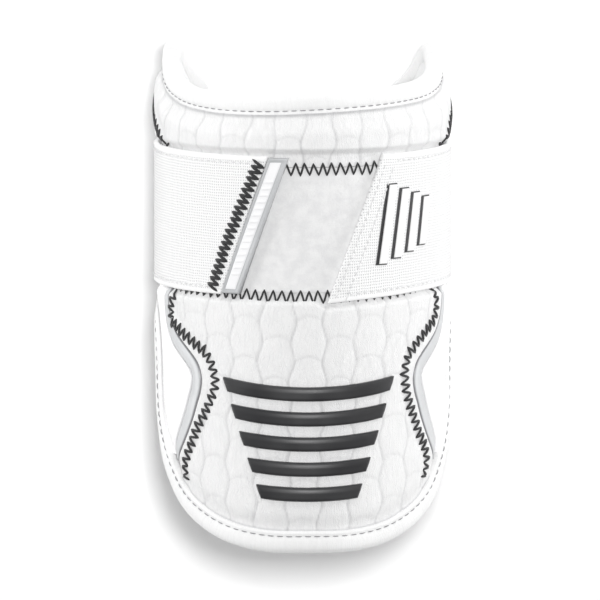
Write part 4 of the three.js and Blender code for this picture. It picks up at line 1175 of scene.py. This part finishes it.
paths = []
for number, rows in enumerate((ZIGZAG_LEFT, ZIGZAG_RIGHT, UPPER_ZIGZAG_LEFT, UPPER_ZIGZAG_RIGHT)):
    line = spline(at_angle(rows), 8)
    paths += zigzag_run(line, seam_valley, pitch=1.6, width=5.0, lift=0.45, seed=21 + number)
sew("side_zigzag_stitching", paths, 0.00048, BLACK_THREAD, "black_rubber")

angles = np.linspace(-PATCH_HALF_ANGLE, PATCH_ZIGZAG_END, 90)
heights = np.interp(angles, *np.transpose(PATCH_FOOT)) + PATCH_ZIGZAG_WIDTH / 2
line = np.stack([angles * MM_PER_DEGREE, heights], 1)
paths = zigzag_run(line, patch_face, pitch=1.8, width=PATCH_ZIGZAG_WIDTH, lift=0.25, seed=33)
head = at_angle([(-PATCH_ZIGZAG_END, PATCH_HIGH - 0.6), (PATCH_ZIGZAG_END, PATCH_HIGH - 0.6)])
line = along(head, np.linspace(0, 1, 80))
paths += zigzag_run(line, patch_face, pitch=1.8, width=PATCH_ZIGZAG_WIDTH, lift=0.4, seed=31)
sew("patch_zigzag_stitching", paths, 0.0004, BLACK_THREAD, "black_rubber")

line = spline(at_angle(STRAP_ZIGZAG), 10)
paths = zigzag_run(line, strap_face, pitch=1.25, width=5.3, lift=0.5, seed=41)
sew("strap_zigzag_stitching", paths, 0.0006, BLACK_THREAD, "black_rubber")

paths = []
for inset in HEM_ROWS:
    paths += stitch_run(slanted(1, inset, *EDGE_ROWS), hem_face, pitch=2.6, gap=0.3, lift=0.3)
for share in EDGE_ROWS:
    for side, reach in ((1, 7), (-1, 3)):
        start = end_angle(side, share) + side * reach / MM_PER_DEGREE
        angles = np.linspace(start, side * LIFT_ANGLE, 90)
        hang = (STRAP_LOW - strap_foot(angles)) * (1 - share)
        line = np.stack([angles * MM_PER_DEGREE, mix(STRAP_LOW, STRAP_HIGH, share) - hang], 1)
        paths += stitch_run(line, strap_face, pitch=2.9, gap=0.34, lift=0.28)
sew("strap_edge_stitching", paths, 0.00026, WHITE_THREAD, "elastic")

line = ring_of(moved_inward(STITCH_INSET / SECTION_WIDTH))
paths = stitch_run(line, lambda flat: binding_face(flat[..., 1]) - 0.36, STITCH_PITCH, gap=0.33, lift=0.3)
sew("binding_stitching", paths, 0.0002, PALE_THREAD, "binding")

for piece, slot_name, nodes in pieces:
    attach(piece, "root")
    if nodes:
        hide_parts(*nodes)
for piece, _, nodes in pieces[:4]:
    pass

# Floor, light and camera

FLOOR_HALF = 4.0
WORLD_STRENGTH = 0.22
# Name, place and aim in metres, size in metres, power in watts.
LIGHTS = [
    ("key", (0.02, 0.34, 2.0), (0, -0.09, 0.05), (0.3, 0.28), 26),
    ("side -1", (-0.9, 0.1, 0.2), (0, 0, 0.05), (1.2, 0.3), 4.5),
    ("side 1", (0.9, 0.1, 0.2), (0, 0, 0.05), (1.2, 0.3), 4.5),
    ("collar fill", (0.2, 1.1, 0.7), (0, 0, 0.05), (1.0, 0.6), 3.5),
]
# The picture is 600 pixels wide. The arm's axis and the tongue's tip keep their columns and rows in it.
PICTURE_WIDTH = 600
PIXEL_MM = 0.38
AXIS_PIXEL = 302.5
TIP_PIXEL = 554.1
SENSOR_WIDTH = 36
LENS_DISTANCE = 6.0
CAMERA_TILT = 6.9
CAMERA_TURN = 2.7

floor_mesh = bpy.data.meshes.new("studio_floor")
floor_mesh.from_pydata(
    [(x * FLOOR_HALF, y * FLOOR_HALF, 0) for x, y in ((-1, -1), (1, -1), (1, 1), (-1, 1))], [], [(0, 1, 2, 3)]
)
floor = stand("studio_floor", floor_mesh)
floor_paint, _, _ = finish_of("floor paint", {"Base Color": (0.99, 0.99, 0.99, 1), "Roughness": 0.9})
floor_mesh.materials.append(floor_paint)

world = bpy.data.worlds.new("studio")
bpy.context.scene.world = world
world.use_nodes = True
background = world.node_tree.nodes["Background"].inputs
background["Color"].default_value = (1, 1, 1, 1)
background["Strength"].default_value = WORLD_STRENGTH

for name, lamp_place, aim, size, power in LIGHTS:
    lamp = bpy.data.lights.new(name, "AREA")
    lamp.shape = "RECTANGLE"
    lamp.size, lamp.size_y = size
    lamp.energy = power
    holder = stand(name, lamp)
    holder.location = lamp_place
    holder.rotation_euler = (Vector(aim) - Vector(lamp_place)).to_track_quat("-Z", "Y").to_euler()

tilt, turn = math.radians(CAMERA_TILT), math.radians(CAMERA_TURN)
toward = Vector((-math.sin(turn) * math.cos(tilt), math.sin(tilt), math.cos(turn) * math.cos(tilt)))
right = Vector((math.cos(turn), 0, math.sin(turn)))
up = toward.cross(right)
tip = Vector((AXIS_X / 1000, TIP_Y / 1000, (AXIS_Z + QUILT_OUTER) / 1000))
axis = Vector((AXIS_X / 1000, 0, AXIS_Z / 1000))
target = tip + up * (TIP_PIXEL - PICTURE_WIDTH / 2) * PIXEL_MM / 1000
target += right * ((axis - target).dot(right) - (AXIS_PIXEL - PICTURE_WIDTH / 2) * PIXEL_MM / 1000)
camera = bpy.data.cameras.new("camera")
camera.sensor_width = SENSOR_WIDTH
camera.lens = SENSOR_WIDTH * LENS_DISTANCE / (PICTURE_WIDTH * PIXEL_MM / 1000)
camera.clip_end = 50
holder = stand("camera", camera)
facing = Matrix((right, up, toward)).transposed().to_4x4()
holder.matrix_world = Matrix.Translation(target + toward * LENS_DISTANCE) @ facing
bpy.context.scene.camera = holder

bpy.context.scene.view_settings.view_transform = "Standard"

bpy.context.view_layer.update()
